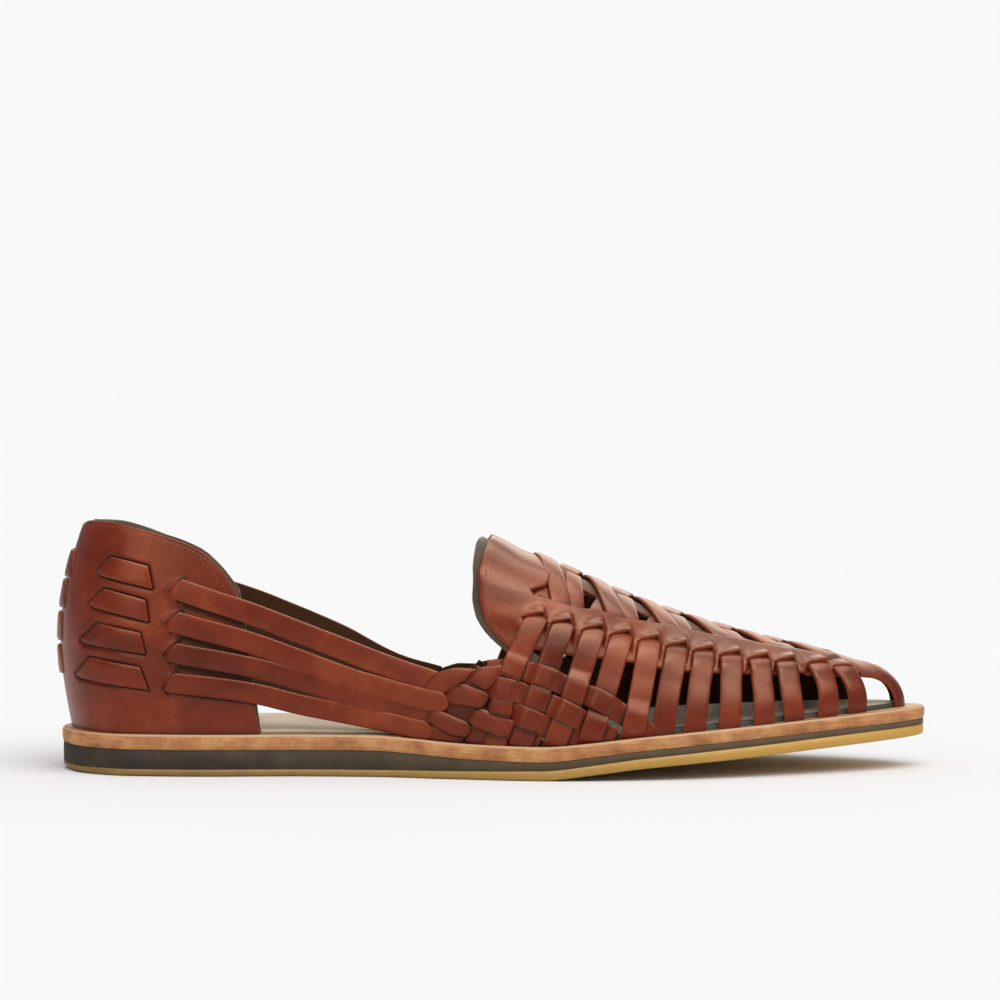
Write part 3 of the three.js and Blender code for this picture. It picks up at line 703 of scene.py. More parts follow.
# Sole layers: rings of the outline from the underside to the top. Each ring is (height above the layer's base,
# as a share of its thickness and in millimetres; inset from the outline).
soleRings = {
    "outsole": [(0, 0.05, 1.8), (0, 0.25, 0.7), (0, 0.7, 0.28), (0.5, 0, 0.22), (1, -0.12, 0.3), (1, -0.02, 0.6)],
    "midsole": [(0, 0.02, 0.6), (0, 0.15, 0.3), (0.5, 0, 0.22), (1, -0.15, 0.3), (1, -0.02, 0.6)],
    "leather_midsole": [(0, 0.02, 0.5), (0, 0.3, 0.12), (0.3, 0, -0.12), (0.6, 0, -0.2), (0.8, 0, -0.12),
                        (1, -0.45, 0.12), (1, -0.16, 0.45), (1, -0.02, 1.0)],
}
soleParts = {
    "outsole": {"layer": 0, "material": honeyRubber, "slot": "honey_rubber"},
    "midsole": {"layer": 1, "material": darkFoam, "slot": "dark_foam"},
    "leather_midsole": {"layer": 2, "material": boardLeather, "slot": "sole_leather"},
}


def soleSolid(name, rings, material, slot, stations=260, columns=17):
    turns = np.linspace(0, math.pi, stations)
    turns = (turns + (1 - np.cos(turns)) / 2 * math.pi) / 2      # closer together at the two ends
    around = np.concatenate([turns, 2 * math.pi - turns[-2:0:-1]])
    count = len(around)
    points, lays, faces = [], [], []
    for index, (height, inset) in enumerate(rings):
        flat = insetPoint(around, inset(around) + np.zeros(count))
        points.append(np.column_stack([flat[:, 0] - form["middle"], flat[:, 1], height(flat[:, 0])]))
        lays.append(np.column_stack([flat[:, 0], flat[:, 1], np.full(count, index / (len(rings) - 1))]))
    j = np.arange(count)
    nxt = (j + 1) % count
    for index in range(len(rings) - 1):
        low, high = index * count, (index + 1) * count
        faces.append(np.stack([low + nxt, low + j, high + j, high + nxt], axis=1))
    total = len(rings) * count
    for ring, flip in ((0, False), (len(rings) - 1, True)):      # caps, station by station across the sole
        edge = points[ring]
        left, right = np.arange(stations), (count - np.arange(stations)) % count
        share = np.linspace(0, 1, columns)[None, :, None]
        cap = edge[left][:, None] * (1 - share) + edge[right][:, None] * share
        height = rings[ring][0]
        cap[..., 2] = height(cap[..., 0] + form["middle"])
        index = np.arange(total, total + stations * columns).reshape(stations, columns)
        index[:, 0], index[:, -1] = ring * count + left, ring * count + right
        points.append(cap.reshape(-1, 3))
        lays.append(np.column_stack([cap.reshape(-1, 3)[:, :2], np.full(stations * columns, float(ring > 0))]))
        cells = np.stack([index[:-1, :-1], index[1:, :-1], index[1:, 1:], index[:-1, 1:]], axis=-1).reshape(-1, 4)
        faces.append(cells if flip else cells[:, ::-1])
        total += stations * columns
    points, lays, faces = np.concatenate(points), np.concatenate(lays), np.concatenate(faces)
    used = np.unique(faces)
    place = np.zeros(len(points), int)
    place[used] = np.arange(len(used))
    return makeMesh(name, points[used], place[faces], {"lay": lays[used]}, material, slot)


def layerRing(layer, share, offset, inset):
    rise = lambda at: stackTop(at, layer) * (1 - share) + stackTop(at, layer + 1) * share + offset
    return rise, lambda around: inset


def insoleRing(up, gap):
    inset = lambda around: rib["Inset"](np.degrees(np.minimum(around, 2 * math.pi - around))) + gap
    return lambda at: stackTop(at, 3) + up, inset


for name, part in soleParts.items():
    rings = [layerRing(part["layer"], *ring) for ring in soleRings[name]]
    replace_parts(soleSolid(name + "_skin", rings, part["material"], part["slot"]), name)

# height above the leather midsole, inset from the upper
insoleRings = ((0.3, 0.65), (1.0, 0.5), (1.35, 0.6), (1.58, 1.1))
insole = soleSolid("insole_skin", [insoleRing(up, gap) for up, gap in insoleRings], creamSock, "sock_leather")
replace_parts(insole, "insole")
print("sole ready")

# Heel counter: the leather cup, its lining, the straps woven through its slits, and the stitching.
counter = {
    # turn in degrees and height of the top edge
    "top": ([0, 8, 16, 24, 32, 42, 48, 51.5, 54.5], [80.8, 81.5, 82.7, 82.5, 81.0, 77.5, 73.5, 68, 60.5]),
    "frontTurn": (58.0, 54.5),      # at the sole and at the top
    "footLift": -0.02, "perDegree": 1.45,      # millimetres along the cup for a degree of turn
    "liningAbove": 0.8, "liningAhead": 0.35,
    "innerDrop": ([0, 10, 30, 42, 54.5], [0.4, 0.8, 1.6, 3.2, 6.5]),      # how much lower the inner side's top is
    "innerShort": 0.955,      # the inner side's front edge stands a little further back
    "inner": 0.9, "outer": 2.3,
    "rows": 250, "columns": 96,
    "stitchIn": 1.35, "stitchPitch": 1.65, "stitchSink": 0.15,
    "stitchBack": 1.1,      # degrees from the front edge to the last stitch
    "groove": {"width": 0.5, "depth": 0.3},
    "strapGap": {"width": 0.8, "depth": 1.0},      # trough round each strap end
    "lip": {"width": 1.7, "height": 0.5},
    "segmentHeight": 0.8,
    # millimetres below a strap at which its shade starts and ends, and where it ends under the lowest one
    "shadeStart": (2.2, 2.9), "shadeEnd": [(5.0, 6.6), (3.6, 4.4)],
}
# Strap segments on the counter, as (distance from the heel, height): point, upper back, upper front, lower front
# and lower back
segments = [
    [(15.4, 66.6), (19.6, 71.3), (31.4, 68.4), (32.9, 61.2), (16.4, 65.2)],
    [(13.0, 56.4), (17.6, 60.9), (30.6, 57.4), (31.7, 50.6), (14.0, 55.0)],
    [(10.2, 44.4), (15.4, 49.7), (29.0, 46.8), (30.6, 40.2), (11.4, 43.2)],
    [(8.6, 33.0), (12.8, 38.5), (28.8, 35.7), (31.6, 28.5), (9.8, 31.9)],
]
# Where each forward strap comes out of the counter: upper back, point, lower back
strapMouths = [
    [(43.6, 64.6), (38.9, 60.6), (41.6, 57.6)],
    [(42.8, 54.3), (37.7, 50.1), (39.2, 47.8)],
    [(42.2, 44.6), (37.1, 39.9), (38.6, 37.7)],
    [(41.0, 34.2), (36.8, 29.2), (38.2, 27.2)],
]
backStraps = {      # the segments that wrap the back of the heel
    "rises": [68.0, 58.2, 47.6, 36.8], "width": 9.2, "thickness": 1.3,
    "reach": 11, "shorter": 0.8,      # degrees each way of the first one, and fewer for each one below
    "dive": 1.4,      # how far their ends go down into the counter
}


counterTop, counterDrop = curveThrough(*counter["top"]), curveThrough(*counter["innerDrop"])


def counterTopAt(across, below=0.0):      # the top edge's height; across runs from -1 to 1, inner front to outer front
    degrees = np.abs(across) * counter["frontTurn"][1]
    dip = counter["innerDrop"][1][0] * (1 - smooth(degrees, 0, 8))
    return counterTop(degrees) - np.where(across < 0, counterDrop(degrees), dip) - below


def counterGrid(rowStep=1, columnStep=1, ahead=0.0, above=0.0):      # places from the sole to the top edge
    across = np.linspace(-1, 1, counter["rows"])[::rowStep, None]
    up = np.linspace(0, 1, counter["columns"])[None, ::columnStep]
    low, high = counter["frontTurn"]
    degrees = across * (low + (high - low) * up) * np.where(across < 0, counter["innerShort"], 1)
    side = np.where(across < 0, inner, outer) + 0 * degrees
    turn = np.radians(np.abs(degrees)) + np.radians(ahead)
    top = liftAt(side, turn, counterTopAt(across, -above) + 0 * turn)
    foot = counter["footLift"]
    return side, turn, top, foot + (top - foot) * np.linspace(0, 1, up.size), degrees * counter["perDegree"]


def distanceTo(points, line, closed):      # from (at, rise) points to a drawn line
    line = np.array(line, float)
    starts = line if closed else line[:-1]
    ends = np.roll(line, -1, axis=0) if closed else line[1:]
    gaps = []
    for a, d in zip(starts, ends - starts):
        t = np.clip(((points - a) @ d) / (d @ d), 0, 1)
        gaps.append(np.linalg.norm(points - a - t[..., None] * d, axis=-1))
    return np.min(gaps, axis=0)


def insideOf(points, line):
    line = np.array(line, float)
    x, z = points[..., 0], points[..., 1]
    hit = np.zeros(x.shape, bool)
    for (x0, z0), (x1, z1) in zip(line, np.roll(line, -1, axis=0)):
        crosses = (z0 > z) != (z1 > z)
        hit ^= crosses & (x < (x1 - x0) * (z - z0) / (z1 - z0 + 1e-12) + x0)
    return hit


def counterSkin():
    side, turn, top, lift, run = counterGrid()
    base = footPoint(side, turn, lift)
    at, rise = base[..., 0] + form["middle"], base[..., 2]
    flat = np.stack([at, rise], axis=-1)
    height, shade = np.full(turn.shape, counter["outer"]), np.zeros(turn.shape)
    trough, gap = counter["strapGap"]["depth"], counter["strapGap"]["width"]
    lip, lipWidth = counter["lip"]["height"], counter["lip"]["width"]
    for outline in segments:
        d = distanceTo(flat, outline, True)
        height += np.where(insideOf(flat, outline), 0, lip * 0.6 * bell(d, lipWidth)) - trough * bell(d, gap)
        # painted shade in the trough round each segment
        shade = np.maximum(shade, bell(d, gap * 1.1, 4))
    for mouth, name in zip(strapMouths, quarter["rear"]):
        d = distanceTo(flat, mouth, False)
        fade = 1 - smooth(rise, mouth[0][1] - 1.2, mouth[0][1] + 0.4)
        mouthAt, mouthRise = np.array(mouth[::-1]).T
        ahead = at > np.interp(rise, mouthRise, mouthAt)
        height += fade * np.where(ahead, -trough * bell(d, gap), lip * 1.7 * bell(d, lipWidth))
        # painted shade round each strap's mouth
        shade = np.maximum(shade, 0.9 * bell(d, gap, 4))
        below = np.interp(at, *np.array(quarter["rear"][name][1]).T) - rise      # shade under the strap's lower edge
        band = smooth(below, *counter["shadeStart"]) * (1 - smooth(below, *counter["shadeEnd"][name == "fourth"]))
        shade = np.maximum(shade, 0.95 * band * smooth(at, mouth[1][0] + 1.5, mouth[1][0] + 5))
    edge = (top - lift) / np.maximum(top, 0.1) * 70      # roughly millimetres below the top edge
    groove = counter["groove"]
    height -= groove["depth"] * bell(edge - counter["stitchIn"], groove["width"])
    return *raised(side, turn, lift, height, counter["inner"]), gridFaces(*turn.shape), layOf(run, rise, 0), shade


makeSkin("heel_counter", [counterSkin()], counterLeather)


def liningSkin():
    side, turn, top, lift, run = counterGrid(3, 4, counter["liningAhead"], counter["liningAbove"])
    faces = raised(side, turn, lift, counter["inner"] * 0.98, -0.2)
    return *faces, gridFaces(*turn.shape), layOf(run, footPoint(side, turn, lift)[..., 2], 1)


makeSkin("counter_lining", [liningSkin()], lining)


def patchSkin(side, outline, height, thickness, seed, rows=26, columns=12):      # a strap segment with a pointed end
    point, upperBack, upperFront, lowerFront, lowerBack = (np.array(p) for p in outline)
    v = np.linspace(0, 1, columns)[None, :, None]      # from the lower edge to the upper one
    u = np.linspace(0, 1, rows)[:, None, None]
    pointShare = 0.22
    back = np.where(v < pointShare, lowerBack + (point - lowerBack) * v / pointShare,
                    point + (upperBack - point) * (v - pointShare) / (1 - pointShare))
    front = lowerFront + (upperFront - lowerFront) * v
    flat = back + (front - back) * u
    at, rise = flat[..., 0], flat[..., 1]
    turn, lift = placeOf(side, at, rise)
    middle = np.sin(math.pi * np.clip(u[..., 0], 0, 1)) ** 0.5
    crown = 1 - np.abs(2 * v[..., 0] - 1) ** 6
    tall = height + thickness - 0.5 * (1 - middle) - 0.28 * (1 - crown)
    faces = raised(side, turn, lift, tall, np.minimum(height, tall - 0.6))
    return *faces, gridFaces(rows, columns, flip=side == inner), layOf(at, rise - 50, seed)


sunk = 0.8      # how deep a segment's inner face lies in the counter
low, thickness = counter["outer"] - sunk, sunk + counter["segmentHeight"]
heelStraps = [patchSkin(side, outline, low, thickness, 0.13 * row + 0.07 * side)
              for side in sides.values() for row, outline in enumerate(segments)]
arrow = lambda u: np.interp(u, [-1, -0.5, 1], [0.8, 0, 3.2])      # how far each end is cut back across the strap
for row, rise in enumerate(backStraps["rises"]):      # round the back of the heel
    reach = backStraps["reach"] - row * backStraps["shorter"]
    turn = np.radians(np.linspace(-reach, reach, 13))
    route = layRoute(outer, turn, liftAt(outer, np.abs(turn), rise + 0 * turn))
    middle = np.sin(math.pi * route["run"] / route["run"][-1]) ** 0.5
    height = counter["outer"] - backStraps["dive"] * (1 - middle)
    # painted shade at both ends, where they go down into the counter
    heelStraps.append(strapSkin(route, backStraps["width"], height, backStraps["thickness"], 0.31 * row,
                                (arrow, arrow), 6, shade=0.5 * (1 - middle)))
makeSkin("heel_straps", heelStraps, brownLeather)
print("heel counter ready")


def tileSkin(side, outline, height, thickness, seed, around=44, rings=9):      # one loose piece of the weave
    line = np.array(outline, float)
    area = np.sum(line[:, 0] * np.roll(line[:, 1], -1) - np.roll(line[:, 0], -1) * line[:, 1])
    line = line if area > 0 else line[::-1]
    for cut in (0.1, 0.2):      # corners cut back, twice
        ends = np.roll(line, -1, axis=0)
        line = np.stack([line * (1 - cut) + ends * cut, line * cut + ends * (1 - cut)], axis=1).reshape(-1, 2)
    closed = np.vstack([line, line[:1]])
    run = runOf(closed)
    even = np.linspace(0, run[-1], around)
    edge = np.stack([np.interp(even, run, closed[:, k]) for k in range(2)], axis=1)
    edge[:, 1] = sagged(side, edge[:, 0], edge[:, 1])
    middle = edge[:-1].mean(axis=0)
    r = (1 - (1 - np.linspace(0, 1, rings)) ** 1.6)[:, None]
    flat = middle + (edge - middle)[None] * r[..., None]
    at, rise = flat[..., 0], flat[..., 1]
    turn, lift = placeOf(side, at, rise)
    outside, inside = raised(side, turn, lift, height + thickness + 0.2 * (1 - r ** 2) - 0.6 * r ** 7, height)
    outside[0], inside[0] = outside[0, 0], inside[0, 0]
    faces = gridFaces(rings, around, flip=side == inner)
    # painted shade along the tile's outline
    return outside, inside, faces, layOf(at, rise, seed), 0.55 * r ** 9 + 0 * turn


def crossed(met, column, index, odd):      # runs at which a strap or strip goes over, or under, the ones it crosses
    return [row[2 + column] for row in met if row[column] == index and (row[0] + row[1]) % 2 == odd]


# Quarter straps and side strips on both sides. An end's shape is how far it is cut back, across the strap.
rearStart = lambda u: np.interp(u, [-1, -0.62, 1], [2.6, 1.0, 6.4])
rearEnd = lambda u: 3.4 * np.abs(u) ** 2.5      # rounded
for sideName, side in sides.items():
    skins = []
    stripLines, strapLines, rearLines, met = (weave[side][key] for key in ("strips", "straps", "rear", "met"))
    lift, thickness = quarter["lift"], quarter["thickness"]
    for index, (name, route) in enumerate(zip(quarter["rear"], rearLines)):
        at, run, last = route["centre"][:, 0] + form["middle"], route["run"], quarter["rearHeight"][name]
        onCounter = quarter["counterHeight"] - 0.4 - (quarter["counterHeight"] - 0.9) * smooth(at, 62, 74)
        height = np.maximum(lift + (last - lift) * smooth(at, 100, 118), onCounter)
        height -= thickness * (1 - smooth(run, 1.5, 5.5))      # its end goes in through the counter
        # painted shade at its end, where it goes in through the counter
        skins.append(strapSkin(route, quarter["rear"][name][0], height, thickness, 0.17 * index + 0.05 * side,
                               (rearStart, rearEnd if last > 1 else None), shade=0.6 * (1 - smooth(run, 1.5, 4.5))))
    for index, (name, route) in enumerate(zip(quarter["front"], strapLines)):
        height = lift + rises(route["run"], crossed(met, 0, index, 0), quarter["reach"], 0.3)
        # painted shade beside the strips that cross over it
        shade = paintedShadeBeside(route["run"], crossed(met, 0, index, 1), 3.4)
        skins.append(strapSkin(route, quarter["front"][name][0], height, thickness, 0.23 * index + 0.05 * side + 1,
                               shade=shade))
    for index, (height, outline) in enumerate(tiles):
        skins.append(tileSkin(side, outline, height, thickness, 0.29 * index + 0.05 * side + 3))
    makeSkin("quarter_straps_" + sideName, skins, brownLeather)

    skins, foot = [], strips["footHeight"]
    for index, route in enumerate(stripLines):
        turn, lift, run = np.degrees(route["turn"]), route["lift"], route["run"]
        if index == 0:
            # painted shade darkens the first strip a little all along
            height, shade, tilt, width = 0.5 + 0 * run, 0.35 + 0 * run, 0.0, strips["firstWidth"]
        else:
            width = strips["innerWidth"] if side == inner and index > 9 else strips["width"]
            slit, margin = slitLine(turn), marginLine(turn)
            onMargin, front = smooth(lift - margin, *strips["onMargin"]), smooth(turn, *strips["frontTurns"])
            height = foot + np.maximum(rises(run, crossed(met, 1, index, 1), quarter["stripReach"], 0.22),
                                       (strips["marginHeight"] - foot) * onMargin)
            height += front * (foot + strips["marginHeight"] * smooth(lift / slit, 0.2, 1) - height)
            height += strips["bow"] * front * np.sin(math.pi * np.clip(lift / slit, 0, 1))
            height += strips["bend"] * (1 - front) * bell(lift - slit + strips["bendBelow"], strips["bendReach"])
            height += (strips["tuckHeight"] - height) * smooth(lift - slit, *strips["goesIn"])
            tilt = strips["tilt"] * smooth(lift - slit, *strips["tilts"])
            # painted shade beside the straps that cross over it, and where it goes in at its slit
            shade = paintedShadeBeside(run, crossed(met, 1, index, 0), 3.3)
            shade = np.maximum(shade, 0.8 * smooth(lift - slit, *strips["darkens"]))
        skins.append(strapSkin(route, width, height, strips["thickness"], 0.11 * index + 0.03 * side + 2,
                               tilt=tilt, shade=shade))
    makeSkin("side_strips_" + sideName, skins, brownLeather)
print("straps and strips ready")

# The vamp: one leather from the throat to the toe, with rails that rise in small tents over the slits,
# an open middle for the lattice, and a margin below the slits that the strips lie on.
vamp = {
    "throatLift": [0.3, 0.32, 0.37, 0.42, 0.5, 0.6, 0.7, 1],
    "throatTurn": [94.2, 92.8, 90.2, 88.9, 88.3, 88.3, 88.6, 90.7],
    "railTopTurn": [88, 94.2, 97.4, 100.8, 104.3, 107.1, 110.7, 116, 121.6, 125.9, 130.5, 135.6, 144.9, 152, 165,
                    180],
    "railTopLift": [0.6, 0.574, 0.573, 0.572, 0.603, 0.605, 0.632, 0.671, 0.684, 0.722, 0.725, 0.749, 0.715, 0.66,
                    0.56, 0.5],
    "toeTurn": [150, 151.3, 157, 160, 162.3, 163.4, 164, 180],      # the toe band's open edge
    "toeLift": [0.5, 0.452, 0.455, 0.42, 0.33, 0.2, -0.03, -0.03],
    "toeHeight": 1.3,      # the toe band lies close to the form
    "nose": ([0.55, 0.6, 0.66, 0.79, 1.0], [0, -0.8, 1.6, 2.6, 2.0]),      # how far it reaches into the lattice
    "innerRail": 0.045,      # the inner side's rail reaches a little higher
    "fadeTurns": 2.4,
    "window": (95.6, 149.4),      # turns at which the open middle starts and ends
    "railThickness": 1.5, "marginThickness": 1.2,
    "throatHeight": 3.9, "topHeight": 3.3, "ridgeHeight": 2.5, "slitHeight": 2.75,
    "marginHeight": 1.5, "pressedHeight": 1.05,
    "tent": 1.8, "tentUp": 0.04, "tentHalf": 4.0, "tentReach": 2.3,
    "rise": (2.5, 10), "pressed": (0, 7),      # millimetres off the slits, upward and downward
    "fullness": 0.25, "fullAt": 4, "fullReach": 3,      # the rail's swelling above each strip
    # turns between which the leather reaches its height at the toe, comes down to the toe band, and leaves the throat
    "toeRise": (149, 154), "toeFade": (138, 162), "throatFade": (91, 94),
    "ridgeLift": (0.7, 0.9), "ridgeStart": (92.5, 95.6), "ridgeEnd": (140, 146), "marginEnd": 152,
    "railColumns": 18, "middleColumns": 17, "marginColumns": 12,
    "stitchIn": 0.76,      # degrees
}
throatTurn = curveThrough(vamp["throatLift"], vamp["throatTurn"])
railTop = curveThrough(vamp["railTopTurn"], vamp["railTopLift"])
toeEdge = curveThrough(vamp["toeTurn"], vamp["toeLift"])


def slitCentres(side):      # distance from the heel at which each strip goes in
    found = []
    for route in weave[side]["strips"][1:]:
        slit = slitLine(np.degrees(route["turn"]))
        i = int(np.argmin(np.abs(route["lift"] - slit)))
        found.append(route["centre"][i, 0] + form["middle"])
    return found


def railFoot(turnDegrees):      # the rail's lower line: the slits, then the toe band's open edge
    return np.where(turnDegrees < 151, slitLine(turnDegrees), np.minimum(slitLine(turnDegrees), toeEdge(turnDegrees)))


def tentAt(side, at):      # 0 between the slits, up to 1 over each strip, highest near its front edge
    height, cover = np.zeros_like(at), np.zeros_like(at)
    for centre in slitCentres(side):
        q = (at - centre) / vamp["tentHalf"]
        roof = smooth(q, -1, -0.75) * (0.32 + 0.68 * np.clip((q + 0.75) / 1.35, 0, 1)) * (1 - smooth(q, 0.62, 1))
        height = np.maximum(height, roof)
        cover = np.maximum(cover, smooth(q, -1, -0.8) * (1 - smooth(q, 0.8, 1)))
    return height, cover


firstTurn = 92.8      # degrees; the vamp's grid is drawn back from here to the throat
vampTurns = np.concatenate([np.arange(firstTurn, 150.01, 0.3), np.arange(150.3, 164.3, 0.25),
                            np.arange(165, 180.01, 0.75)])
vampTurns[-1] = 180


def toThroat(rows, lift):      # the first columns move over to the throat's edge
    return rows + (throatTurn(lift) - firstTurn) * np.clip(1 - (rows - firstTurn) / vamp["fadeTurns"], 0, 1)


def vampPlace(side, share):      # share runs 0 to 1 up the rail and 1 to 2 from the rail's top to the crest
    rows = vampTurns[:, None] * np.ones_like(share)[None]
    low = railFoot(rows)
    high = np.maximum(railTop(rows) + vamp["innerRail"] * (side == inner), low + 0.05)
    up = share[None] * np.ones_like(rows)
    lift = np.where(up <= 1, low + (high - low) * np.minimum(up, 1), high + (1 - high) * (up - 1))
    turn = toThroat(rows, lift) + np.interp(lift, *vamp["nose"]) * bell(rows - vamp["window"][0], 2.0)
    return np.radians(turn), np.clip(lift, -0.03, 1)


vampSeed = 0.4


def vampHalf(side):
    top = vamp["topHeight"]
    share = np.concatenate([np.linspace(0, 1, vamp["railColumns"]), 1 + np.linspace(0, 1, vamp["middleColumns"])[1:]])
    turn, lift = vampPlace(side, share)
    lip = footPoint(side, turn[:, 0], lift[:, 0])[:, 0] + form["middle"]
    roof, _ = tentAt(side, lip)
    lift = lift + vamp["tentUp"] * roof[:, None] * np.clip(1 - share / 0.45, 0, 1)[None] ** 2
    base = footPoint(side, turn, lift)
    above = np.array([runOf(row) for row in base])
    roof, degrees = roof[:, None] + 0 * above, np.degrees(turn)
    risen = np.maximum(smooth(above, *vamp["rise"]), smooth(degrees, *vamp["toeRise"]))
    height = vamp["slitHeight"] + (top - vamp["slitHeight"]) * risen
    height += (vamp["toeHeight"] - height) * smooth(degrees, *vamp["toeFade"])
    ridge = smooth(lift, *vamp["ridgeLift"])
    height += (vamp["throatHeight"] - top) * ridge * (1 - smooth(degrees, *vamp["throatFade"]))
    ridge = ridge * smooth(degrees, *vamp["ridgeStart"]) * (1 - smooth(degrees, *vamp["ridgeEnd"]))
    height += (vamp["ridgeHeight"] - top) * ridge
    height += roof * vamp["tent"] * bell(above, vamp["tentReach"])
    height += roof * vamp["fullness"] * bell(above - vamp["fullAt"], vamp["fullReach"])
    lay = layOf(base[..., 0] + form["middle"], above, vampSeed)
    return *raised(side, turn, lift, height, height - vamp["railThickness"]), lay


def vampSkins():
    near, far = vampHalf(outer), vampHalf(inner)
    outside, inside, lay = (np.concatenate([a, b[:, -2::-1]], axis=1) for a, b in zip(near, far))
    rows, columns = outside.shape[:2]
    start, end = vamp["window"]
    inWindow = (vampTurns[:-1] >= start) & (vampTurns[:-1] < end)
    middle = np.zeros(columns - 1, bool)
    middle[vamp["railColumns"] - 1:columns - vamp["railColumns"]] = True
    keep = ~(inWindow[:, None] & middle[None])
    skins = [(outside, inside, gridFaces(rows, columns, keep), lay)]
    for side, half in ((outer, near), (inner, far)):      # the margin below the slits
        count = int(np.sum(vampTurns < vamp["marginEnd"]))
        rows = vampTurns[:count, None]
        low, high = marginLine(rows), railFoot(rows)
        lift = low + (high - low) * np.linspace(0, 1, vamp["marginColumns"])[None]
        turn = np.radians(toThroat(rows, lift))
        base = footPoint(side, turn, lift)
        at = base[..., 0] + form["middle"]
        below = np.linalg.norm(base - base[:, -1:], axis=-1)
        _, cover = tentAt(side, np.broadcast_to(at[:, -1:], at.shape))
        free = vamp["slitHeight"] + (vamp["marginHeight"] - vamp["slitHeight"]) * smooth(below, *vamp["pressed"])
        _, coverHere = tentAt(side, at + below * 0.22)
        height = free + (vamp["pressedHeight"] - free) * np.where(below < 1.5, cover, np.maximum(cover, coverHere))
        outside, inside = raised(side, turn, lift, height, height - vamp["marginThickness"])
        joined = cover[:, -1] < 1e-6      # between the slits the margin joins the rail
        outside[joined, -1] = half[0][:count][joined, 0]
        skins.append((outside, inside, gridFaces(*at.shape, flip=side == inner), layOf(at, -below, vampSeed)))
    return skins


makeSkin("vamp", vampSkins(), brownLeather, 0.2)

# Lattice over the instep. Each pair has a strap that stays on top at the ridge and one that goes under there;
# rows are (distance from the heel for the first pair, step to the next pair) at the rail, the ridge and the far rail.
lattice = {
    "pairs": 6,
    "widths": {"top": 6.6, "under": 5.6}, "innerWider": 1.5, "thickness": 1.4,
    "top": {"rail": (167.3, 18.4), "ridge": (161.0, 17.1), "far": (154.0, 18.4)},
    "under": {"rail": (171.6, 18.4), "ridge": (169.6, 17.1), "far": (159.3, 18.76)},
    "underRail": 0.06,      # lift that each end runs on under its rail
    "topEnd": 0.24,      # lift past the crest at which an upper strap stops, out of sight under the next ones
    # height over the form by lift, for a strap on top at the ridge and one under it, after its places at the rail
    "heights": {True: [(0.7, 1.5), (0.92, 2.0), (1.0, 2.15), (1.08, 1.7), (1.16, 0.3), (1.4, 0.1)],
                False: [(0.5, 1.3), (0.86, 1.4), (0.94, 0.5), (1.0, 0.2), (1.1, 0.1), (1.4, 0.3)]},
    "hiddenHeight": 0.15,      # share of the height left where a strap runs under the solid leather
    # how dark it is by the rail, and for a strap that goes under, at the ridge and past it
    "shades": {"rail": 0.8, "ridge": 0.7, "past": 0.75},
}


def ridgeTurn(at):
    turns = np.linspace(60, 175, 300)
    return math.radians(float(np.interp(at, rib["TopAt"](turns), turns)))


def latticeStrap(side, kind, pair):
    near, ridge, far = (first + pitch * pair for first, pitch in lattice[kind].values())
    railLift = lambda turn: float(railTop(min(np.degrees(turn), 160))) - lattice["underRail"]
    turnNear = turnAt(side, near, railLift(turnAt(side, near, 0.7)))
    turnFar = turnAt(-side, far, 0.66)
    liftNear, liftFar = railLift(turnNear), railLift(turnFar)
    turnFar, crest = turnAt(-side, far, liftFar), ridgeTurn(ridge)
    turns = [turnNear, (turnNear + crest) / 2, crest, (crest + turnFar) / 2, turnFar]
    lifts = [liftNear, (liftNear + 1) / 2, 1.0, 2 - (liftFar + 1) / 2, 2 - liftFar]
    if kind == "top":
        turns[3:] = [crest + (turnFar - crest) * lattice["topEnd"] / (1 - liftFar)]
        lifts[3:] = [1 + lattice["topEnd"]]
    elif pair < 0:      # only the near half is there
        turns, lifts = turns[:3], lifts[:3]
    return layRoute(side, turns, lifts, 0.5)


def latticeSkin(side, kind, pair):
    route = latticeStrap(side, kind, pair)
    lift, first = route["lift"], side == outer      # the outer side's upper straps stay on top at the ridge
    rail, onTop = lift[0], (kind == "top") == first
    (low, risen), *marks = lattice["heights"][onTop]
    height = curveThrough(*zip((rail, low), (rail + 0.1, risen), *marks))(lift)
    shades = lattice["shades"]
    shade = shades["rail"] * (1 - smooth(lift, rail + 0.05, rail + 0.1))
    shade = shade + (0 if onTop else shades["ridge"] * smooth(lift, 0.84, 0.92))
    if kind == "top":
        height = height + 0.35 * (1 - smooth(lift, rail, rail + 0.2))
    else:
        shade = np.maximum(shade, shades["past"] * smooth(lift, 1.1, 1.16) * (1 - smooth(lift, 1.26, 1.34)))
    if pair < 0 or (pair == lattice["pairs"] - 1 and kind == "under"):
        height = height * lattice["hiddenHeight"]
    width = lattice["widths"][kind] + (0 if first else lattice["innerWider"])
    seed = 0.19 * pair + 0.4 * (kind == "top") + 0.07 * side
    return strapSkin(route, width, height, lattice["thickness"], seed, shade=shade)


order = [(-1, "under")] + [(pair, kind) for pair in range(lattice["pairs"]) for kind in ("top", "under")]
makeSkin("lattice", [latticeSkin(side, kind, pair) for side in sides.values() for pair, kind in order], brownLeather)
print("vamp and lattice ready")


throat = {
    # degrees from the edge to the lining's front, and to its rim at the top and low down
    "ahead": 3.0, "back": 0.7, "backLow": 1.36,
    "low": 0.28, "height": 0.95, "topHeight": 1.7, "thickness": 1.1,
}


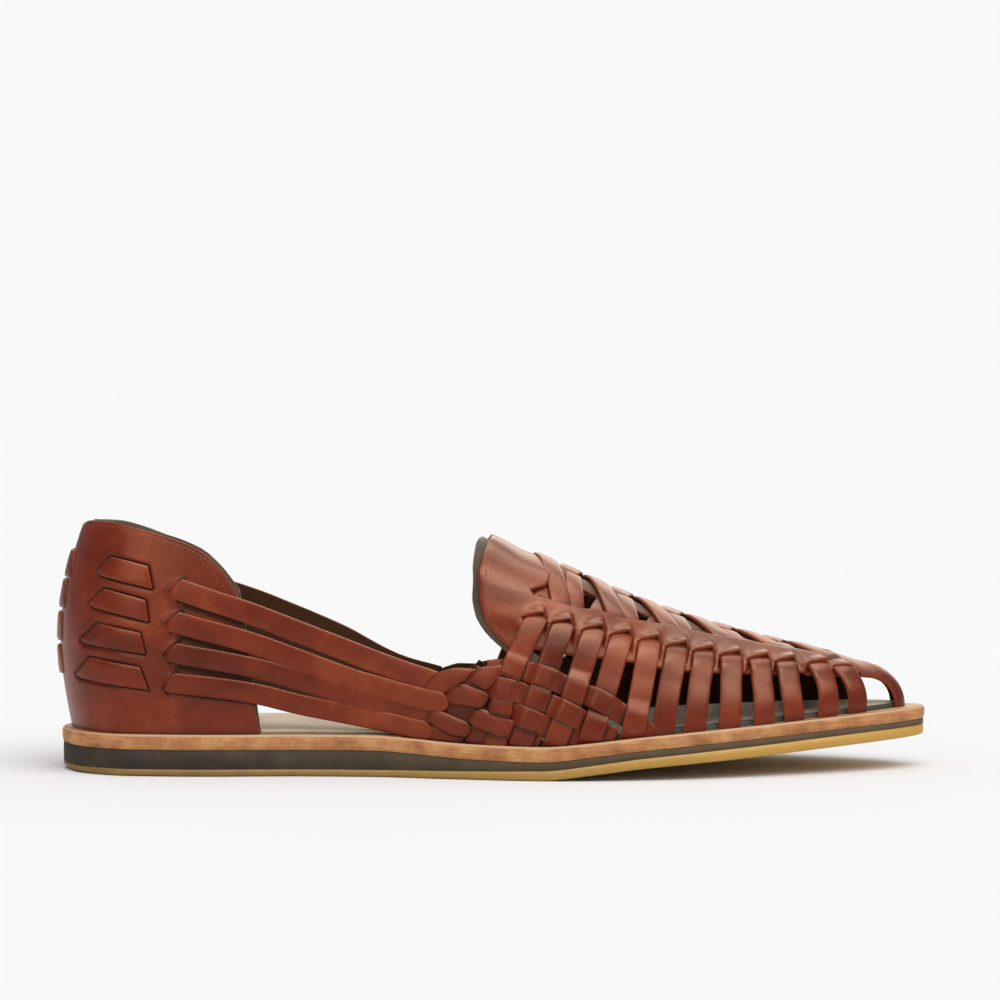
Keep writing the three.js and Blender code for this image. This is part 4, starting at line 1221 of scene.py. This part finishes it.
def throatLining():
    lift = np.linspace(throat["low"], 1, 40)
    lift = np.concatenate([lift, 2 - lift[-2::-1]])
    held = folding(lift)
    back = throat["back"] + (throat["backLow"] - throat["back"]) * (1 - smooth(held, 0.34, 0.6))
    degrees = throatTurn(held) - back + (throat["ahead"] + back) * np.linspace(0, 1, 14)[:, None]
    height = throat["height"] + (throat["topHeight"] - throat["height"]) * smooth(held, 0.35, 0.6)
    lift = lift + 0 * degrees
    faces = raised(outer, np.radians(degrees), lift, height, height - throat["thickness"])
    return *faces, gridFaces(*degrees.shape), layOf(degrees, lift * 60, 0)


makeSkin("throat_lining", [throatLining()], lining)

stitch = {"length": 1.25, "radius": 0.26, "sink": 0.02, "around": 6, "steps": 5, "throatPitch": 1.6}


def threadAlong(name, turns, lifts, heights, pitch):      # small stitches, end to end along a line
    route = layRoute(outer, turns, lifts, 0.3)
    run, steps, around, radius = route["run"], stitch["steps"], stitch["around"], stitch["radius"]
    height = np.interp(run, np.linspace(0, run[-1], len(heights)), heights)
    route["line"], = raised(outer, route["turn"], route["lift"], height)
    count = int(run[-1] / pitch)
    angle = np.linspace(0, 2 * math.pi, around, endpoint=False)
    t = np.linspace(-1, 1, steps)
    s = (np.arange(count)[:, None] + 0.5) * run[-1] / count + t * stitch["length"] / 2
    middle, up, side = (rows[:, :, None] for rows in readRoute(route, s, "line", "normal", "across"))
    thick = radius * np.sqrt(np.clip(1 - t ** 2, 0.06, 1))[:, None]
    dip = (-radius * 0.9 * t ** 2 - stitch["sink"])[:, None]
    points = middle + up * (dip + thick * np.cos(angle))[..., None] + side * (thick * np.sin(angle))[..., None]
    grid = np.arange(count * steps * around).reshape(count, steps, around)
    beside = np.roll(grid, -1, axis=2)
    faces = np.stack([grid[:, :-1], beside[:, :-1], beside[:, 1:], grid[:, 1:]], axis=-1)
    lay = {"lay": layOf(s[..., None] * 2, angle, 0).reshape(-1, 3)}
    makeMesh(name, points.reshape(-1, 3), faces.reshape(-1, 4), lay, orangeThread, "upper_leather")


lifts = np.linspace(0.35, 1.65, 60)
held = folding(lifts)
heights = vamp["slitHeight"] + (vamp["topHeight"] - vamp["slitHeight"]) * smooth(held, 0.5, 0.62)
heights = np.where(held < 0.46, vamp["marginHeight"] + 1.0, heights)
threadAlong("throat_stitches", np.radians(throatTurn(held) + vamp["stitchIn"]), lifts, heights, stitch["throatPitch"])

across = np.linspace(-0.985, 0.985, 70)
degrees = across * (counter["frontTurn"][1] - counter["stitchBack"]) * np.where(across < 0, counter["innerShort"], 1)
lifts = liftAt(np.where(across < 0, inner, outer), np.radians(np.abs(degrees)),
               counterTopAt(across, counter["stitchIn"]))
heights = counter["outer"] - counter["stitchSink"] + 0 * across
threadAlong("counter_stitches", np.radians(degrees), lifts, heights, counter["stitchPitch"])
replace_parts(bpy.data.objects["vamp"], "upper")
print("stitches ready")

# Plain pale floor, soft studio light and the camera
studio = {
    "floorRings": [0.3, 0.6, 1.2, 2.5, 6, 15, 30, 60], "floorSides": 96,
    "floorShade": 0.889, "speck": 0.004,
    "world": 0.58, "seenWorld": 0.947, "glossyWorld": 0.2,
    "sun": {"energy": 1.75, "angle": 60, "turn": (28, 10, 10)},
    "soft": [      # place, aimed at, width and depth in metres, power
        ((0.0, -0.22, 1.15), (0.0, 0.0, 0.04), (1.1, 0.3), 11.0),
        ((0.75, -0.45, 0.75), (0.05, 0.0, 0.03), (0.5, 0.5), 4.0),
        ((0.1, 0.55, 1.1), (0.05, 0.0, 0.03), (1.0, 0.4), 8.0),
        ((0.1, 1.2, 0.55), (0.05, 0.0, 0.03), (1.6, 0.6), 9.0),
        ((-0.5, -1.0, 0.6), (-0.05, 0.0, 0.04), (0.5, 0.7), 3.0),
    ],
    "softColour": (1.0, 0.86, 0.7),
    "camera": {"place": (0.0022, -1.230, 0.130), "down": 1.878, "lens": 131.8, "sensor": 36.0, "clip": (0.05, 200.0)},
}
scene = bpy.context.scene
scene.view_settings.view_transform = "Standard"
count = studio["floorSides"]
angle = np.linspace(0, 2 * math.pi, count, endpoint=False)
disc = [(0.0, 0.0, 0.0)] + [(r * math.cos(a), r * math.sin(a), 0.0) for r in studio["floorRings"] for a in angle]
discFaces = [(0, 1 + i, 1 + (i + 1) % count) for i in range(count)]
for start in range(1, len(disc) - count, count):
    for i in range(count):
        a, b = start + i, start + (i + 1) % count
        discFaces.append((a, a + count, b + count, b))
floorMesh = bpy.data.meshes.new("floor")
floorMesh.from_pydata(disc, [], discFaces)
floor = bpy.data.objects.new("floor", floorMesh)
scene.collection.objects.link(floor)


def palePaint(add, look):
    shade, speck = look["floorShade"], look["speck"]
    tone = ramp(add, noise(add, partSpace(add), 6.0), [(0.3, shade - speck), (0.7, shade + speck)])
    return {"Base Color": tone, "Roughness": 0.9, "Specular IOR Level": 0.0}, None


floorMesh.materials.append(makeMaterial("paleFloor", palePaint, studio))

world = bpy.data.worlds.new("studioWorld")
scene.world = world
world.use_nodes = True
tree = world.node_tree
tree.nodes.clear()
add = nodeTools(tree)
ray = add("ShaderNodeLightPath").outputs
daylight = studio["world"]
strength = daylight
for kind, seen in (("Is Camera Ray", studio["seenWorld"]), ("Is Glossy Ray", studio["glossyWorld"])):
    strength = reckon(add, "ADD", strength, reckon(add, "MULTIPLY", ray[kind], seen - daylight))
background = add("ShaderNodeBackground", {"Color": (1.0, 1.0, 1.0, 1.0), "Strength": strength})
tree.links.new(background.outputs[0], add("ShaderNodeOutputWorld").inputs["Surface"])


def addLight(name, kind, place, turn, **settings):
    lamp = bpy.data.lights.new(name, kind)
    for key, value in settings.items():
        setattr(lamp, key, value)
    piece = bpy.data.objects.new(name, lamp)
    piece.location, piece.rotation_euler = place, turn
    scene.collection.objects.link(piece)
    return piece


sun = studio["sun"]
addLight("sun", "SUN", (0, 0, 1), np.radians(sun["turn"]), energy=sun["energy"], angle=math.radians(sun["angle"]))
for index, (place, aim, (width, depth), power) in enumerate(studio["soft"]):
    turn = (Vector(aim) - Vector(place)).to_track_quat("-Z", "Y").to_euler()
    box = addLight("softbox%d" % index, "AREA", place, turn, energy=power, color=studio["softColour"],
                   shape="RECTANGLE", size=width, size_y=depth)
    box.visible_diffuse = box.visible_camera = False      # they only put soft highlights on the leather

view = studio["camera"]
camera = bpy.data.cameras.new("camera")
camera.lens, camera.sensor_width = view["lens"], view["sensor"]
camera.clip_start, camera.clip_end = view["clip"]
eye = bpy.data.objects.new("camera", camera)
eye.location = view["place"]
eye.rotation_euler = (math.radians(90 - view["down"]), 0, 0)
scene.collection.objects.link(eye)
scene.camera = eye
print("studio ready")

bpy.context.view_layer.update()
